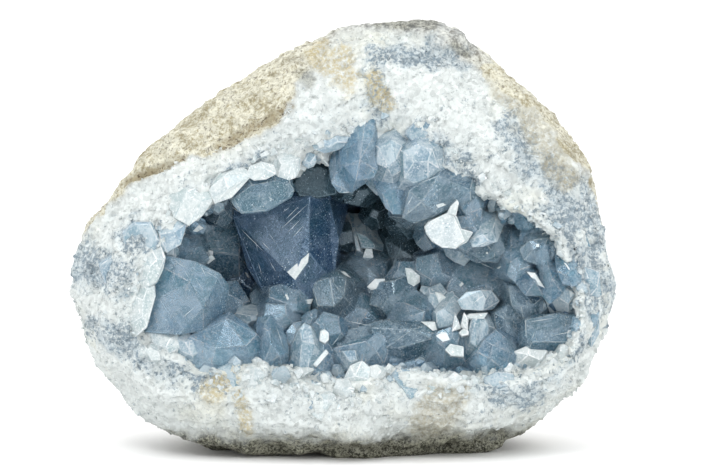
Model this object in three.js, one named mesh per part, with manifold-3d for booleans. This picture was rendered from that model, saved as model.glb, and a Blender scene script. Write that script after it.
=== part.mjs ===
// A celestite geode: a hollow nodule of pale rock, broken open at the front, with a crust of blue crystals inside.
// Millimetres. +X right, +Y back into the hollow, +Z up. The origin is on the floor, under the middle of the
// bounding box. Two pieces: the rock shell, and the crust of crystals grown together in its hollow.
import * as THREE from "three";
import { ImprovedNoise } from "three/addons/math/ImprovedNoise.js";
import { mergeVertices } from "three/addons/utils/BufferGeometryUtils.js";
import Module from "manifold-3d";

const wasm = await Module();
wasm.setup();

// ---- Driving dimensions ----
const axis = { x: 1.1, z: 72.5 }; // the nodule's axis runs along Y through this point
const widestY = -1; // where along Y the nodule is widest
const backDepth = 60; // from the widest section to the back of the rock
const hollowBackY = 30; // the deepest point of the bare hollow
const lipStep = 9; // how far the mouth's edge lies behind the foremost ridge of the rim
const crestShare = 0.34; // where the foremost ridge lies between the mouth's edge and the widest outline
const frontDepth = { middle: 45, lean: 12 }; // from the widest section to that ridge, more at the foot
const backSquareness = 0.86; // 1 gives a round back, less a squarer one
const backRadius = 86; // what the outline rounds off to towards the back
const ledge = { at: 0.42, sway: 0.14, height: 3.4 }; // the step from the weathered skin down to the broken rim
const coarseWithin = 64; // nearer the axis than this, only the broad lumps show
const pits = { size: 13, depth: 9, sparse: 0.3 };

// Distances from the axis every 22.5 degrees, from +X round by +Z.
const outlineRadii = [97.8, 96.5, 93, 92, 82.5, 78, 76.5, 86.5, 100.5, 101, 93, 78.5, 74, 78.5, 94.5, 100.2];
const mouthRadii = [82, 54, 44, 39, 39, 38, 40, 53, 67, 74, 49, 42, 43, 41, 55, 84];
const hollowRadii = [83, 68, 55, 49, 48, 49, 53, 65, 76, 77, 56, 46, 43, 45, 60, 83];

const columns = 52; // facets around the axis
const rings = { back: 7, front: 12, lip: 3, hollow: 5 };

const clearance = 0.45; // between the crust and the rock that it lines
const liningThickness = [2, 6]; // of the crust between its crystals
const liningEdge = 0.8; // of the crust where it runs out on the rim

const heart = new THREE.Vector3(axis.x, -10, axis.z); // the middle of the hollow, which its crystals grow towards
const sideways = 40; // how far towards either end the rays start that spread the crystals over the wall
const filling = { seed: 0, count: 94, height: [6, 14], width: [13, 20], lean: 0.7, rooted: 6 };
const edging = { seed: 10, count: 32, height: [1, 4], width: [8, 13], lean: 0.6, rooted: 5, band: [-2, 5] };

// The large crystals: where the tip is, which way it points, [width, thickness, length], the turn about its
// length in degrees, and how blunt the tip is, from 0 for a sharp ridge to 1 for a nearly flat end.
const largeCrystals = [
  { tip: [-14, -16, 61], pointing: [0.25, -0.8, -0.5], size: [42, 34, 52], roll: 20, blunt: 0.2 }, // dark block, middle
  { tip: [-52, -50, 63], pointing: [0.35, -0.8, 0.3], size: [32, 27, 42], roll: 60, blunt: 0.8 }, // pale block, left
  { tip: [3, -33, 96], pointing: [-0.15, -0.5, -0.8], size: [14, 11, 26], roll: 15, blunt: 0.3 }, // roof, middle
  { tip: [19, -33, 97], pointing: [0.2, -0.55, -0.8], size: [17, 13, 26], roll: 70, blunt: 0.6 },
  { tip: [30, -27, 87], pointing: [0.05, -0.5, -0.8], size: [30, 17, 34], roll: 5, blunt: 0.5 }, // roof slab, right
  { tip: [39, -40, 86], pointing: [-0.55, -0.75, -0.15], size: [18, 11, 22], roll: 100, blunt: 0.2 }, // white plate
  { tip: [-39, -34, 94], pointing: [-0.85, -0.4, -0.2], size: [13, 11, 26], roll: 80, blunt: 0.4 }, // lying, upper left
  { tip: [66, -28, 71], pointing: [-0.5, -0.8, 0.05], size: [22, 17, 34], roll: 35, blunt: 0.3 }, // right wall
  { tip: [75, -32, 51], pointing: [-0.45, -0.7, 0.45], size: [26, 19, 32], roll: 110, blunt: 0.7 }, // right, low
  { tip: [57, -30, 58], pointing: [-0.15, -0.9, 0.25], size: [15, 12, 32], roll: 10, blunt: 1 }, // end-on hexagon
  { tip: [52, -46, 43], pointing: [-0.1, -0.75, 0.6], size: [15, 11, 22], roll: 50, blunt: 0.3 }, // right of the lip
  { tip: [13, -22, 59], pointing: [-0.05, -0.75, 0.45], size: [21, 16, 36], roll: 140, blunt: 0.4 }, // floor, middle
  { tip: [-23, -42, 50], pointing: [0.1, -0.4, 0.85], size: [13, 10, 22], roll: 30, blunt: 0.8 }, // floor, left
  { tip: [-38, -40, 48], pointing: [0.3, -0.5, 0.75], size: [19, 13, 20], roll: 90, blunt: 0.5 },
  { tip: [40, -18, 69], pointing: [-0.2, -0.9, 0.1], size: [26, 20, 40], roll: 75, blunt: 0.6 }, // behind the plate
  { tip: [-50, -14, 83], pointing: [0.55, -0.75, -0.15], size: [20, 16, 32], roll: 25, blunt: 0.5 }, // left, high
  { tip: [12, 6, 80], pointing: [-0.3, -0.85, -0.2], size: [24, 18, 30], roll: 60, blunt: 0.4 }, // deepest
];

// ---- Helpers ----
const turn = 2 * Math.PI;
const noise = new ImprovedNoise();

/** A smooth closed curve's value at an angle, through values that are evenly spaced around the axis. */
function around(values, angle) {
  const n = values.length;
  const place = (((angle / turn) % 1) + 1) * n;
  const i = Math.floor(place);
  const t = place - i;
  const [a, b, c, d] = [-1, 0, 1, 2].map((k) => values[(i + k + n) % n]);
  return b + 0.5 * t * (c - a + t * (2 * a - 5 * b + 4 * c - d + t * (3 * (b - c) + d - a)));
}

/** A repeatable number from 0 to 1 for a whole number and a channel. */
function scatter(index, channel) {
  const s = Math.sin(index * 12.9898 + channel * 78.233) * 43758.5453;
  return s - Math.floor(s);
}

/** Smooth noise from about -1 to 1, with features of the given size. */
function lump(p, size, seed) {
  return noise.noise(p.x / size + seed, p.y / size + 2 * seed, p.z / size - seed);
}

function toManifold(geometry) {
  const bare = geometry.clone();
  bare.deleteAttribute("normal");
  bare.deleteAttribute("uv");
  const merged = mergeVertices(bare, 1e-4);
  return new wasm.Manifold(
    new wasm.Mesh({
      numProp: 3,
      vertProperties: merged.attributes.position.array,
      triVerts: new Uint32Array(merged.index.array),
    }),
  );
}

function toGeometry(solid) {
  const mesh = solid.getMesh();
  const geometry = new THREE.BufferGeometry();
  geometry.setAttribute("position", new THREE.BufferAttribute(mesh.vertProperties, 3));
  geometry.setIndex(new THREE.BufferAttribute(mesh.triVerts, 1));
  geometry.computeVertexNormals();
  return geometry;
}

/** The largest of the separate bodies in a solid. */
function largestBody(solid) {
  return solid.decompose().reduce((best, body) => (body.volume() > best.volume() ? body : best));
}

/** A closed skin over rings of points that all have the same count, with a point at one or both ends. */
function skin(ringsOfPoints, firstPole, lastPole) {
  const count = ringsOfPoints[0].length;
  const points = [...ringsOfPoints.flat(), firstPole, lastPole].filter(Boolean);
  const faces = [];
  const at = (ring, i) => ring * count + ((i + count) % count);
  const last = ringsOfPoints.length - 1;
  for (let i = 0; i < count; i++) {
    if (firstPole) faces.push(points.indexOf(firstPole), at(0, i + 1), at(0, i));
    if (lastPole) faces.push(points.indexOf(lastPole), at(last, i), at(last, i + 1));
    for (let ring = 0; ring < last; ring++) {
      const [a, b, c, d] = [at(ring, i), at(ring, i + 1), at(ring + 1, i + 1), at(ring + 1, i)];
      if ((ring + i) % 2) faces.push(a, b, c, a, c, d);
      else faces.push(a, b, d, b, c, d);
    }
  }
  const geometry = new THREE.BufferGeometry().setFromPoints(points);
  geometry.setIndex(faces);
  geometry.computeVertexNormals();
  return geometry;
}

// ---- The rock shell ----

/** Where along Y the rim's foremost ridge lies. */
function crestPlace(angle) {
  return widestY - frontDepth.middle + frontDepth.lean * Math.sin(angle);
}

/** One section of the shell from the back pole round to the back of the hollow: distance from the axis, y, relief. */
function shellProfile(angle) {
  const outline = around(outlineRadii, angle);
  const mouth = around(mouthRadii, angle);
  const hollow = around(hollowRadii, angle);
  const crest = mouth + crestShare * (outline - mouth);
  const crestY = crestPlace(angle);
  const mouthY = crestY + lipStep;
  const profile = [];
  for (let i = rings.back; i >= 0; i--) {
    const a = ((i / (rings.back + 1)) * Math.PI) / 2;
    const rounded = THREE.MathUtils.lerp(outline, backRadius, 0.8 * Math.sin(a) ** 3);
    profile.push({
      from: rounded * Math.cos(a) ** backSquareness,
      y: widestY + backDepth * Math.sin(a) ** backSquareness,
      relief: 2.2,
      chip: 0.4,
      step: 0,
    });
  }
  const ledgeAt = ledge.at + ledge.sway * Math.sin(3 * angle + 1);
  for (let i = 1; i <= rings.front; i++) {
    const a = ((i / rings.front) * Math.PI) / 2;
    profile.push({
      from: crest + (outline - crest) * Math.cos(a) ** 0.9,
      y: widestY - (widestY - crestY) * Math.sin(a) ** 0.95,
      relief: 2.4 + 1.6 * (i / rings.front),
      chip: 0.8 + 2.2 * (i / rings.front),
      step: i / rings.front < ledgeAt ? (ledge.height * i) / rings.front / ledgeAt : 0,
    });
  }
  for (let i = 1; i <= rings.lip; i++) {
    const a = ((i / rings.lip) * Math.PI) / 2;
    profile.push({
      from: crest - (crest - mouth) * Math.sin(a),
      y: crestY + lipStep * (1 - Math.cos(a)),
      relief: 3,
      chip: 2.4,
      step: 0,
    });
  }
  for (let i = 1; i <= rings.hollow; i++) {
    const a = ((i / (rings.hollow + 1)) * Math.PI) / 2;
    const width = THREE.MathUtils.lerp(mouth, hollow, Math.min(1, (2.2 * i) / rings.hollow));
    profile.push({
      from: width * Math.cos(a) ** 0.8,
      y: mouthY + (hollowBackY - mouthY) * Math.sin(a),
      relief: 1.2,
      chip: 0,
      step: 0,
    });
  }
  return profile;
}

/** The shell's smooth form with lumps, ledges and pits pushed in and out of it. */
function shellForm() {
  const onAxis = (y) => new THREE.Vector3(axis.x, y, axis.z);
  const profiles = Array.from({ length: columns }, (_, i) => shellProfile((i / columns) * turn));
  const reliefs = [];
  const chips = [];
  const steps = [];
  const ringsOfPoints = profiles[0].map((_, ring) =>
    profiles.map((profile, i) => {
      const angle = (i / columns) * turn;
      const { from, y, relief, chip, step } = profile[ring];
      reliefs.push(relief);
      chips.push(chip);
      steps.push(step);
      return new THREE.Vector3(axis.x + from * Math.cos(angle), y, axis.z + from * Math.sin(angle));
    }),
  );
  const form = skin(ringsOfPoints, onAxis(widestY + backDepth), onAxis(hollowBackY));
  reliefs.push(2, 1);
  chips.push(0, 0);
  steps.push(0, 0);
  const position = form.attributes.position;
  const normal = form.attributes.normal;
  for (let i = 0; i < position.count; i++) {
    const p = new THREE.Vector3().fromBufferAttribute(position, i);
    const n = new THREE.Vector3().fromBufferAttribute(normal, i);
    const nearAxis = Math.min(1, Math.hypot(p.x - axis.x, p.z - axis.z) / coarseWithin) ** 2;
    const rise = lump(p, 34, 3) * 1.1 + (lump(p, 15, 7) * 0.9 + lump(p, 7, 11) * 0.5) * nearAxis;
    const chipped = (scatter(i, 20) - 0.5) * chips[i] * nearAxis;
    const pit = pits.depth * Math.max(0, lump(p, pits.size, 21) - pits.sparse) * nearAxis;
    p.addScaledVector(n, rise * reliefs[i] + chipped + steps[i] - pit);
    position.setXYZ(i, p.x, p.y, p.z);
  }
  form.computeVertexNormals();
  return form;
}

/** A copy of a form with each point moved out along its normal. */
function grown(form, distance) {
  const copy = form.clone();
  const { position, normal } = form.attributes;
  for (let i = 0; i < position.count; i++) {
    const p = new THREE.Vector3().fromBufferAttribute(position, i);
    p.addScaledVector(new THREE.Vector3().fromBufferAttribute(normal, i), distance);
    copy.attributes.position.setXYZ(i, p.x, p.y, p.z);
  }
  return copy;
}

/** The shell, cut flat where it rests. */
function rockShell(form) {
  return largestBody(toManifold(form).trimByPlane([0, 0, 1], 0));
}

// ---- The crystals ----
const domeAngle = THREE.MathUtils.degToRad(52.1); // between a tabular face and the long side faces
const prismAngle = THREE.MathUtils.degToRad(38); // between the length and the two broad end faces
const capAngle = THREE.MathUtils.degToRad(50.6); // between the length and the two narrow end faces

/** One crystal, its tip at the origin and its length down -Z, cut from a block by its faces. */
function crystal({ width, thickness, length, blunt }) {
  const block = new THREE.BoxGeometry(width, thickness, length).translate(0, 0, -length / 2);
  const side = (width / 2) * Math.sin(domeAngle);
  const end = width * 0.12;
  const cap = thickness * 0.2;
  let solid = toManifold(block);
  for (const u of [-1, 1]) {
    for (const v of [-1, 1]) {
      solid = solid.trimByPlane([-u * Math.sin(domeAngle), -v * Math.cos(domeAngle), 0], -side);
    }
    solid = solid.trimByPlane([-u * Math.sin(prismAngle), 0, -Math.cos(prismAngle)], -end + blunt * end);
    solid = solid.trimByPlane([0, -u * Math.sin(capAngle), -Math.cos(capAngle)], -cap + blunt * cap);
  }
  return solid;
}

/** A crystal with its tip at a place, pointing along a direction and turned about it. */
function planted(size, tip, pointing, roll) {
  const along = new THREE.Quaternion().setFromUnitVectors(new THREE.Vector3(0, 0, 1), pointing);
  const about = new THREE.Quaternion().setFromAxisAngle(new THREE.Vector3(0, 0, 1), roll);
  const matrix = new THREE.Matrix4().compose(tip, along.multiply(about), new THREE.Vector3(1, 1, 1));
  return crystal(size).transform(matrix.elements);
}

/** The layer that the crystals grow from: from inside the rock to its thickness off the hollow's wall. */
function lining(form) {
  const firstRing = rings.back + rings.front + rings.lip;
  const lastRing = rings.back + rings.front + rings.lip + rings.hollow;
  const { position, normal } = form.attributes;
  const offPoint = (index, distance) => {
    const n = new THREE.Vector3().fromBufferAttribute(normal, index);
    return new THREE.Vector3().fromBufferAttribute(position, index).addScaledVector(n, distance);
  };
  const offRing = (ring, thinnest, thickest) =>
    Array.from({ length: columns }, (_, i) => {
      const index = ring * columns + i;
      const share = 0.5 + lump(offPoint(index, 0), 11, 5);
      return offPoint(index, THREE.MathUtils.lerp(thinnest, thickest, share));
    });
  const hollowRings = Array.from({ length: lastRing - firstRing + 1 }, (_, i) => firstRing + i);
  const rockSide = hollowRings.map((ring) => offRing(ring, -1, -1)).reverse();
  const openSide = hollowRings.map((ring) =>
    ring === firstRing ? offRing(ring, liningEdge, liningEdge) : offRing(ring, ...liningThickness),
  );
  const pole = position.count - 1;
  const layer = skin([...rockSide, ...openSide], offPoint(pole, -1), offPoint(pole, liningThickness[0]));
  return toManifold(layer);
}

/** Where a ray first meets a mesh, with the wall's normal there, as a list of one or none. */
function wallFrom(place, direction, mesh) {
  const [hit] = new THREE.Raycaster(place, direction).intersectObject(mesh);
  return hit ? [{ direction, point: hit.point, normal: hit.face.normal }] : [];
}

/** Directions spread evenly over a sphere. */
function spreadDirections(count) {
  const goldenAngle = Math.PI * (3 - Math.sqrt(5));
  return Array.from({ length: count }, (_, i) => {
    const z = 1 - (2 * i + 1) / count;
    const level = Math.sqrt(1 - z * z);
    return new THREE.Vector3(level * Math.cos(i * goldenAngle), level * Math.sin(i * goldenAngle), z);
  });
}

/** The large crystals, each set by hand. */
function largeCrystalSolids() {
  return largeCrystals.map(({ tip, pointing, size, roll, blunt }) => {
    const [width, thickness, length] = size;
    const direction = new THREE.Vector3(...pointing).normalize();
    const turned = THREE.MathUtils.degToRad(roll);
    return planted({ width, thickness, length, blunt }, new THREE.Vector3(...tip), direction, turned);
  });
}

/** Crystals growing out of the wall, one where each ray met it. */
function wallCrystals(hits, { seed, height, width, lean, rooted }) {
  return hits.map(({ direction, point, normal }, i) => {
    const pick = (channel) => scatter(i, seed + channel);
    const rise = THREE.MathUtils.lerp(...height, pick(1));
    const wide = THREE.MathUtils.lerp(...width, pick(2));
    const thick = wide * THREE.MathUtils.lerp(0.6, 1.25, pick(3));
    const pointing = normal.clone().multiplyScalar(0.8).addScaledVector(direction, -0.5);
    pointing.addScaledVector(new THREE.Vector3(pick(4) - 0.5, pick(5) - 0.5, pick(6) - 0.5), lean).normalize();
    const tip = point.clone().addScaledVector(pointing, rise);
    const size = { width: wide, thickness: thick, length: rise + rooted, blunt: pick(7) };
    return planted(size, tip, pointing, pick(8) * turn);
  });
}

/** Where rays from the middle of the hollow meet its wall. */
function hollowWall(wall) {
  return spreadDirections(filling.count).flatMap((direction) => {
    const from = heart.clone().add(new THREE.Vector3(sideways * direction.x, 0, 0));
    return wallFrom(from, direction, wall);
  });
}

/** Where rays from the front meet the rock around the mouth's edge. */
function mouthEdge(wall) {
  return Array.from({ length: edging.count }, (_, i) => {
    const angle = ((i + 0.5 * scatter(i, 31)) / edging.count) * turn;
    const reach = around(mouthRadii, angle) + THREE.MathUtils.lerp(...edging.band, scatter(i, 32));
    const from = new THREE.Vector3(axis.x + reach * Math.cos(angle), -150, axis.z + reach * Math.sin(angle));
    return wallFrom(from, new THREE.Vector3(0, 1, 0), wall);
  }).flat();
}

/** The crust: its lining and its crystals grown into one, kept clear of the rock. */
function crystalCrust(form, wall) {
  const grownTogether = wasm.Manifold.union([
    lining(form),
    ...largeCrystalSolids(),
    ...wallCrystals(hollowWall(wall), filling),
    ...wallCrystals(mouthEdge(wall), edging),
  ]);
  const rock = toManifold(grown(form, clearance));
  return largestBody(grownTogether.subtract(rock).simplify(0.15));
}

/** A solid as a named mesh in its own colour. */
function piece(name, solid, look) {
  const mesh = new THREE.Mesh(toGeometry(solid), new THREE.MeshStandardMaterial(look));
  mesh.name = name;
  return mesh;
}

const form = shellForm();
const wall = new THREE.Mesh(form, new THREE.MeshStandardMaterial({ side: THREE.DoubleSide }));
const shell = rockShell(form);
const crust = crystalCrust(form, wall);

const geode = new THREE.Group();
geode.add(piece("rock_shell", shell, { color: 0xd3d8d6, roughness: 0.85, metalness: 0 }));
geode.add(piece("crystal_crust", crust, { color: 0x7d97b3, roughness: 0.15, metalness: 0 }));

export default geode;
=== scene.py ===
"""Looks of a celestite geode, built round its solids: rock, a sugary rim and a hollow of blue crystals.

Everything is in metres in the frame of the solids: +X right, +Y back into the hollow, +Z up, the floor at 0.
Sizes and places that are laid out one by one are in millimetres, and MM turns them into metres.
"""

import itertools
import math

import bpy
import numpy as np
from mathutils import Matrix, Vector, noise
from mathutils.bvhtree import BVHTree


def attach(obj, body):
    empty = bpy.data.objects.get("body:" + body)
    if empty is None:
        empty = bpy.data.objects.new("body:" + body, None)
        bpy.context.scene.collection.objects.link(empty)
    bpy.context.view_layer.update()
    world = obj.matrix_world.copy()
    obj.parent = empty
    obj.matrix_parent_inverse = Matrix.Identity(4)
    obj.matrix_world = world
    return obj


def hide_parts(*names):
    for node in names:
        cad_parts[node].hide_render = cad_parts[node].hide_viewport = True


bl_info = {
    "name": "Celestite Geode",
    "version": (1, 0, 0),
    "blender": (4, 5, 0),
    "location": "View3D > Sidebar > Geode",
    "description": "Builds the rock, rim and crystals of a celestite geode round its solids",
    "category": "Add Mesh",
}

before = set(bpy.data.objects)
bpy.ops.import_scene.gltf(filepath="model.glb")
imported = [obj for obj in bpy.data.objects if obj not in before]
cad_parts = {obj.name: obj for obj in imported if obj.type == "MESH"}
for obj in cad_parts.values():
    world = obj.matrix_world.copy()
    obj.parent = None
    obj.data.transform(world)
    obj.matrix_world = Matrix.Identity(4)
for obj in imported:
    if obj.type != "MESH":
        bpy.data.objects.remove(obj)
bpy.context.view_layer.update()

MM = 0.001

# ---- The crystals' finishes ----
# Each finish: its deep, teal and pale colours, the share of light that goes through, and its absorption's
# colour and density.
CRYSTAL_FINISHES = {
    "clear": ((0.17, 0.36, 0.54), (0.17, 0.4, 0.52), (0.52, 0.71, 0.86), 0.72, (0.5, 0.72, 0.92), 8.0),
    "deep": ((0.035, 0.1, 0.22), (0.03, 0.13, 0.2), (0.18, 0.28, 0.42), 0.66, (0.42, 0.64, 0.9), 12.0),
    "milky": ((0.2, 0.32, 0.42), (0.2, 0.35, 0.42), (0.55, 0.66, 0.72), 0.4),
    "frosted": ((0.42, 0.48, 0.5), (0.42, 0.49, 0.49), (0.6, 0.64, 0.64), 0.1),
    "cloudy": ((0.36, 0.44, 0.47), (0.36, 0.45, 0.46), (0.6, 0.645, 0.64), 0.15),
    "murky": ((0.1, 0.24, 0.37), (0.095, 0.26, 0.35), (0.42, 0.6, 0.75), 0.62, (0.5, 0.72, 0.92), 6.0),
    "slate": ((0.09, 0.2, 0.3), (0.085, 0.23, 0.29), (0.36, 0.5, 0.61), 0.68, (0.5, 0.7, 0.89), 7.0),
    # The near-black finish below is painted shade, for crystals deep in the hollow's gap and under its roof.
    "shaded": ((0.012, 0.04, 0.06), (0.012, 0.045, 0.06), (0.07, 0.12, 0.15), 0.5, (0.4, 0.6, 0.75), 30.0),
}
CLEAR, DEEP, MILKY, FROSTED, CLOUDY, MURKY, SLATE, PAINTED_SHADE = range(len(CRYSTAL_FINISHES))

# ---- The geode's shape, in millimetres ----
AXIS_X, AXIS_Z = 1.1, 72.5  # the nodule's axis runs along Y through this point
WIDEST_Y = -1.0
FRONT_MIDDLE, FRONT_LEAN = 45.0, 12.0  # from the widest section to the foremost ridge, more at the foot
LIP_STEP = 9.0  # from that ridge back to the mouth's edge
CREST_SHARE = 0.34
HEART = np.array([AXIS_X, -10.0, AXIS_Z])  # the middle of the hollow

# Distances from the axis every 22.5 degrees, from +X round by +Z.
OUTLINE_RADII = [97.8, 96.5, 93, 92, 82.5, 78, 76.5, 86.5, 100.5, 101, 93, 78.5, 74, 78.5, 94.5, 100.2]
MOUTH_RADII = [82, 54, 44, 39, 39, 38, 40, 53, 67, 74, 49, 42, 43, 41, 55, 84]
# How far the weathered skin comes round to the front: 0 ends it at the outline, 1 at the foremost ridge.
SKIN_REACH = [0.12, 0.4, 0.4, 0.3, 0.2, 0.8, 0.77, 0.5, 0.12, 0.08, 0.1, 0.12, 0.2, 0.2, 0.12, 0.08]
# How tan the skin is, from grey at 0, and how tan it is at the back.
SKIN_TAN = [0.5, 0.75, 0.6, 0.3, 0.4, 0.8, 0.95, 0.95, 0.5, 0.3, 0.35, 0.5, 0.45, 0.4, 0.4, 0.4]
BACK_TAN = 0.55
# Lumps of the weathered skin: height, width and seed of the noise.
WEATHERED_LUMPS = [(0.9, 8, 5), (0.45, 3.4, 6), (0.3, 1.7, 11)]
FLAT_UNDER = 0.35  # what is lower than this above the floor is flattened onto it

# Stains and patches on the front: from (x, z), to (x, z), and how far they spread.
OCHRE_STAINS = [
    ((-8, 149), (-5, 145), 5),
    ((0, 148), (2, 139), 5),
    ((12, 139), (16, 131), 4),
    ((-47, 27), (-41, 32), 4.5),
    ((-37.5, 26), (-34, 12), 2.6),
]
TAN_STREAKS = [
    ((57, 140), (70, 125), 4.5),
    ((70, 125), (83, 104), 5.5),
    ((41, 29), (33, 13), 8),
]
BROWN_CREVICES = [
    ((-45, 116), (-31, 123), 2.2),
    ((-31, 123), (-19, 130), 1.9),
    ((-80, 102.5), (-58, 111.5), 1.0),
]
GREY_PATCHES = [
    ((14, 160), (34, 159.5), 2.5),
    ((-13, 141), (-12, 140), 3),
    ((42, 152), (46, 149), 2),
]
TOP_KNOB = ((5, 158), (38, 158), 9, 2.4)  # a low knob along the top: from, to, its reach and its height
BLUE_PATCHES = [
    ((-96, 72), (-72, 65), 9),
    ((-77, 83), (-70, 81), 7),
    ((-90, 48), (-62, 38), 6),
    ((-70, 39), (-46, 33), 7),
    ((13, 150), (36, 147), 4),
    ((12, 142), (14, 128), 5),
    ((36, 152), (46, 147), 5),
    ((78, 104), (86, 88), 8),
    ((61, 125), (69, 108), 6),
    ((74, 84), (94, 62), 12),
    ((90, 98), (96, 80), 5),
    ((48, 36), (68, 26), 9),
    ((72, 34), (84, 44), 7),
    ((30, 115), (44, 105), 8),
    ((-52, 95), (-30, 106), 6),
]

# The large crystals are laid out on a plan seen from the front and a little above: columns to the right and
# rows down, in squares of PLAN_SQUARE, with the frame's point PLAN_MIDDLE at the middle square.
PLAN_SQUARE = 0.375
PLAN_MIDDLE = (4.9, -10.0, 80.0)
PLAN_MIDDLE_SQUARE = (354, 236)
PLAN_DISTANCE = 1600.0
PLAN_ELEVATION = math.radians(5)
SENSOR_WIDTH = 36.0

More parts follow.
